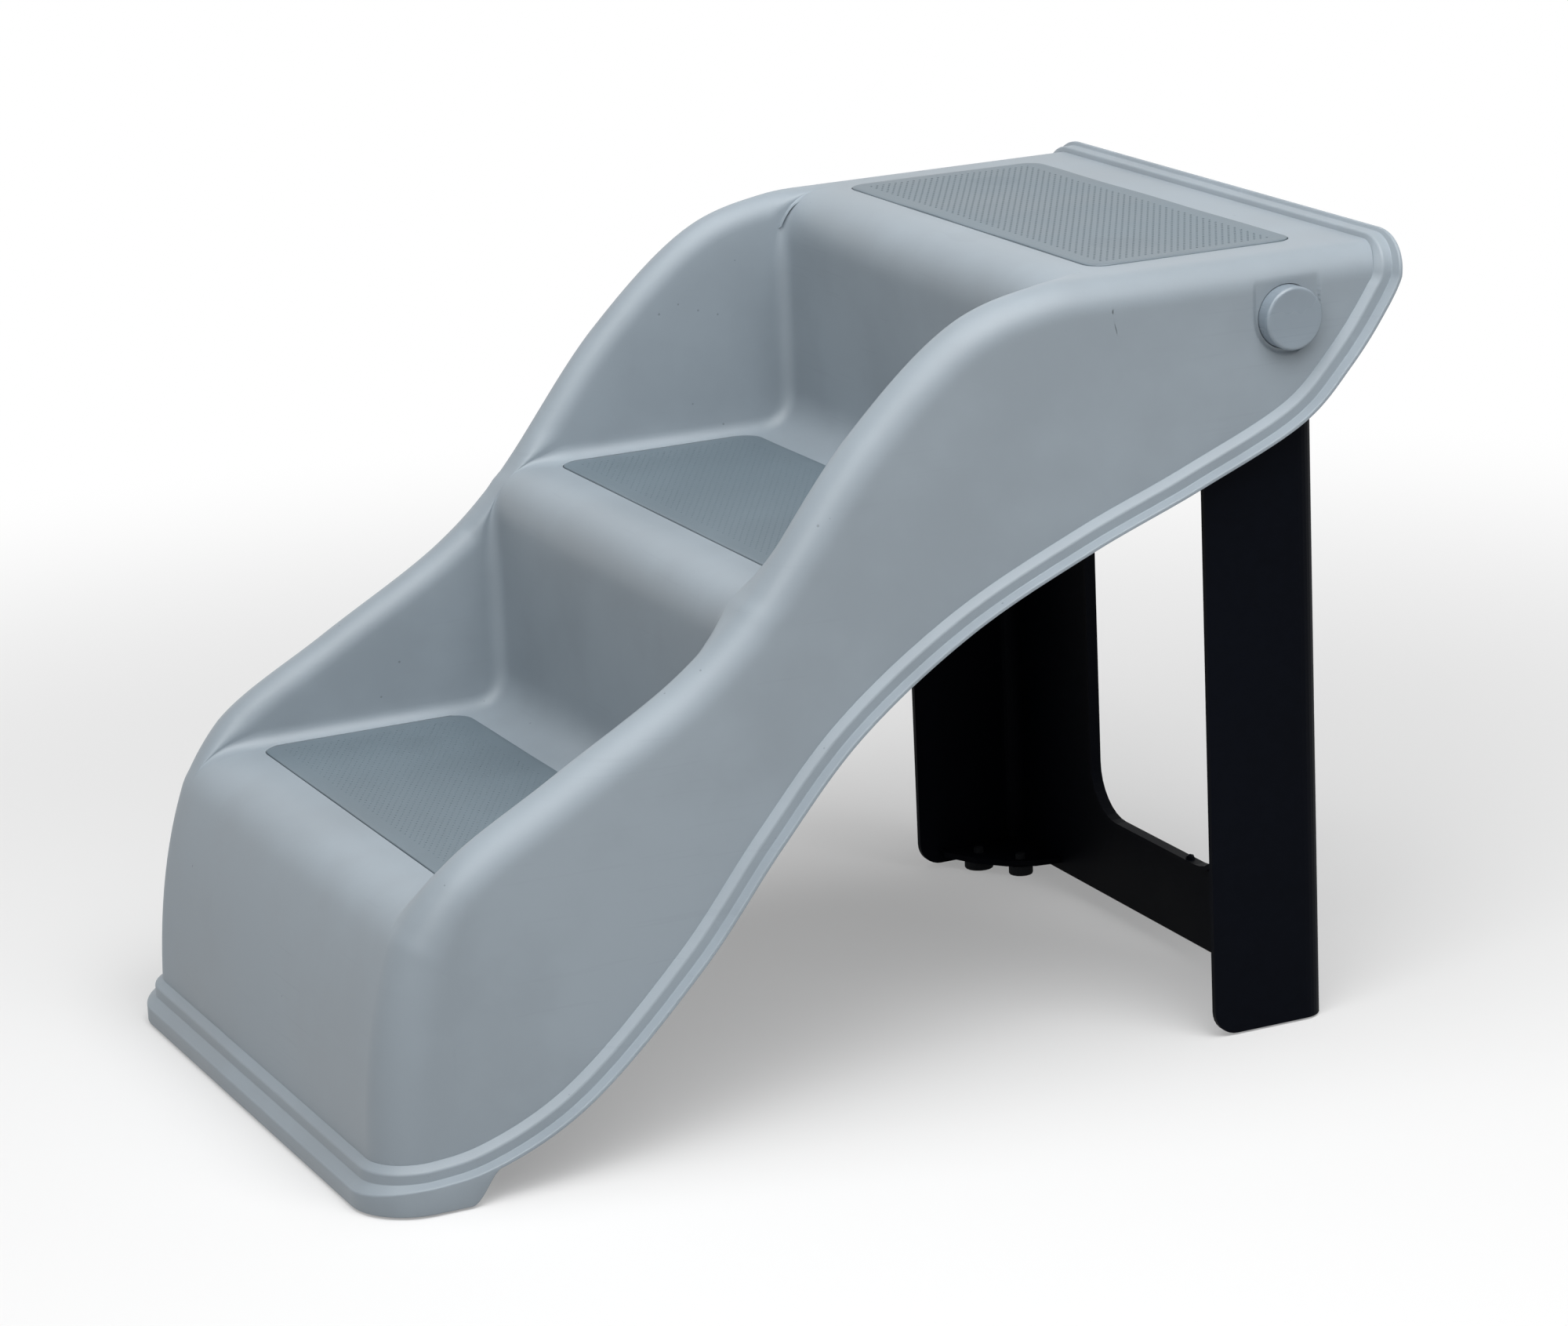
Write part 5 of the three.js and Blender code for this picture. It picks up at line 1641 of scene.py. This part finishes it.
@dataclass
class Studio:
    """A plain pale floor under soft light, and the camera at the photograph's angle."""

    world_level: float = 0.15
    floor_reach: float = 40.0
    floor_colour: Colour = (0.52, 0.52, 0.52)
    floor_lift: float = 0.3
    floor_roughness: float = 0.9
    floor_fade: Pair = (0.55, 1.5)
    lamps: tuple[tuple[str, Triple, float, float], ...] = (
        ("overhead_lamp", (-0.2, -0.5, 2.4), 2.2, 47),
        ("near_lamp", (0.4, -1.6, 2.3), 1.8, 32),
        ("front_lamp", (-1.8, -1.4, 1.8), 1.6, 24),
    )
    aim: Triple = (0, 0, 0.2)
    camera_place: Triple = (-1.1181, -2.4753, 0.9715)
    sensor: float = 36
    far_end: float = 200
    lens: float = 115.13
    yaw: float = math.radians(65.25)
    pitch: float = math.radians(15.757)
    roll: float = math.radians(-2.648)

    def seen_white(self, wiring: Wiring) -> Socket:
        """1 where a ray shows the background itself or its reflection.

        Args:
            wiring: The nodes of the material or the world.

        Returns:
            The mask.
        """
        rays = wiring.add("ShaderNodeLightPath")
        shown = wiring.maths("MAXIMUM", rays.outputs["Is Camera Ray"], rays.outputs["Is Glossy Ray"])
        return wiring.maths("MAXIMUM", shown, rays.outputs["Is Transmission Ray"])

    def surround(self) -> None:
        """Lights the whole space evenly and shows it as white."""
        world = bpy.data.worlds.new("soft_surround")
        world.use_nodes = True
        bpy.context.scene.world = world
        wiring = Wiring(world.node_tree)
        strength = wiring.between(self.seen_white(wiring), 0, 1, self.world_level, 1)
        wiring.fill(world.node_tree.nodes["Background"], {"Color": (1, 1, 1, 1), "Strength": strength})

    def floor(self) -> Piece:
        """A floor that keeps the shadow and fades to white away from the object.

        Returns:
            The floor.
        """
        reach = self.floor_reach
        corners = np.array([(-reach, -reach, 0), (reach, -reach, 0), (reach, reach, 0), (-reach, reach, 0)])
        floor = mesh_object("studio_floor", corners, [[0, 1, 2, 3]])
        material, wiring, shader, place = blank_material("pale_floor")
        wiring.fill(shader, {
            "Base Color": (*self.floor_colour, 1), "Roughness": self.floor_roughness, "Specular IOR Level": 0.0,
        })
        length = wiring.add("ShaderNodeVectorMath", {0: place}, operation="LENGTH").outputs["Value"]
        seen = self.seen_white(wiring)
        glow = wiring.add("ShaderNodeEmission")
        lift = wiring.add("ShaderNodeEmission", {"Strength": wiring.maths("MULTIPLY", seen, self.floor_lift)})
        near = wiring.add("ShaderNodeAddShader", {0: shader.outputs[0], 1: lift.outputs[0]})
        fade = wiring.maths("MULTIPLY", wiring.between(length, *self.floor_fade), seen)
        mix = wiring.add("ShaderNodeMixShader", {0: fade, 1: near.outputs[0], 2: glow.outputs[0]})
        wiring.fill(material.node_tree.nodes["Material Output"], {"Surface": mix.outputs[0]})
        floor.data.materials.append(material)
        return floor

    def lamp(self, name: str, place: Sequence[float], size: float, power: float) -> None:
        """Hangs a soft square lamp that points at the middle of the stairs.

        Args:
            name: The lamp's name.
            place: Where it hangs.
            size: The length of its sides.
            power: Its power in watts.
        """
        light = bpy.data.lights.new(name, "AREA")
        light.shape = "SQUARE"
        light.size = size
        light.energy = power
        lamp = bpy.data.objects.new(name, light)
        lamp.location = place
        aim = Vector(self.aim) - Vector(place)
        lamp.rotation_euler = aim.to_track_quat("-Z", "Y").to_euler()
        lamp.visible_camera = False
        bpy.context.scene.collection.objects.link(lamp)

    def camera(self) -> None:
        """Stands the camera at the photograph's angle."""
        data = bpy.data.cameras.new("photo_camera")
        data.sensor_width = self.sensor
        data.lens = self.lens
        data.clip_end = self.far_end
        cos_yaw, sin_yaw = math.cos(self.yaw), math.sin(self.yaw)
        forward = Vector((cos_yaw * math.cos(self.pitch), sin_yaw * math.cos(self.pitch), -math.sin(self.pitch)))
        right = Vector((sin_yaw, -cos_yaw, 0))
        up = right.cross(forward)
        level = math.cos(self.roll) * right + math.sin(self.roll) * up
        upright = -math.sin(self.roll) * right + math.cos(self.roll) * up
        camera = bpy.data.objects.new("photo_camera", data)
        turn = Matrix((level, upright, -forward)).transposed().to_4x4()
        camera.matrix_world = Matrix.Translation(self.camera_place) @ turn
        bpy.context.scene.collection.objects.link(camera)
        bpy.context.scene.camera = camera

    def build(self) -> None:
        """Sets up the light, the floor and the camera."""
        self.surround()
        self.floor()
        for settings in self.lamps:
            self.lamp(*settings)
        self.camera()
        bpy.context.scene.view_settings.view_transform = "Standard"


# The imported pieces that keep their own meshes, and the mats with the painted light and shade of their holes


SOFT_STEPS = 3
SOFT_ANGLE = math.radians(35)
CARRIED = {
    "leg_frame": (LEG_PLASTIC, 1.0 * MM),
    "pivot_housing": (INNER_PLASTIC, 0.3 * MM),
    "hub_washer": (INNER_PLASTIC, 0.1 * MM),
    "screw_washer": (STEEL, 0.1 * MM),
    "pivot_screw": (STEEL, 0.15 * MM),
    "leg_foot_peg": (FOOT_RUBBER, 0.5 * MM),
    "leg_foot_pad": (FOOT_RUBBER, 0.3 * MM),
    "front_foot": (FOOT_RUBBER, 0.3 * MM),
}


# Each mat with its holes' floor finish: painted shade on the upper mat, painted light on the lower two.
MATS = (
    (TreadMat("lower_tread_mat", 0.3 * MM, 0.55 * MM, 0.15 * MM), MAT_HOLE_PAINTED_LIGHT),
    (TreadMat("middle_tread_mat", 0.3 * MM, 0.55 * MM, 0.15 * MM), MAT_HOLE_PAINTED_LIGHT),
    (TreadMat("upper_tread_mat", 0.45 * MM, 0.75 * MM, 0.3 * MM), MAT_HOLE_PAINTED_SHADE),
)


def dress_carried(finishes: dict[str, Material]) -> None:
    """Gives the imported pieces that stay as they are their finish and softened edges.

    Args:
        finishes: The materials by name.
    """
    for name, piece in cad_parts.items():
        kind = name.removeprefix("near_").removeprefix("far_")
        if kind not in CARRIED:
            continue
        finish, soft = CARRIED[kind]
        for slot in piece.material_slots:
            slot.material = finishes[finish.name]
        modifier = piece.modifiers.new("soft_edges", "BEVEL")
        modifier.width = soft
        modifier.segments = SOFT_STEPS
        modifier.limit_method = "ANGLE"
        modifier.angle_limit = SOFT_ANGLE
        LOG.info("dressed %s in %s", name, finish.name)


def main() -> None:
    """Builds every piece, dresses it and sets the scene."""
    logging.basicConfig(level=logging.INFO, format="%(name)s: %(message)s")
    shelf = EffectShelf()
    finishes = {
        finish.name: finish.build(shelf)
        for finish in (
            SHELL_PLASTIC, BUTTON_PLASTIC, LEG_PLASTIC, INNER_PLASTIC, FOOT_RUBBER, MAT_RUBBER, MAT_HOLE_PAINTED_SHADE,
            MAT_HOLE_PAINTED_LIGHT, STEEL,
        )
    }
    shell = StairShell().build()
    shell.data.materials.clear()
    shell.data.materials.append(finishes[SHELL_PLASTIC.name])
    LOG.info("shell: %d faces", len(shell.data.polygons))
    for design, floor in MATS:
        mat = design.build([finishes[MAT_RUBBER.name], finishes[floor.name]])
        LOG.info("%s: %d faces", mat.name, len(mat.data.polygons))
    for side in Side:
        button = LockButton(side).build(finishes[BUTTON_PLASTIC.name])
        LOG.info("%s: %d faces", button.name, len(button.data.polygons))
        spring = ReturnSpring(side).build(finishes[STEEL.name])
        LOG.info("%s: %d faces", spring.name, len(spring.data.polygons))
    dress_carried(finishes)
    Studio().build()


if __name__ == "__main__":
    main()
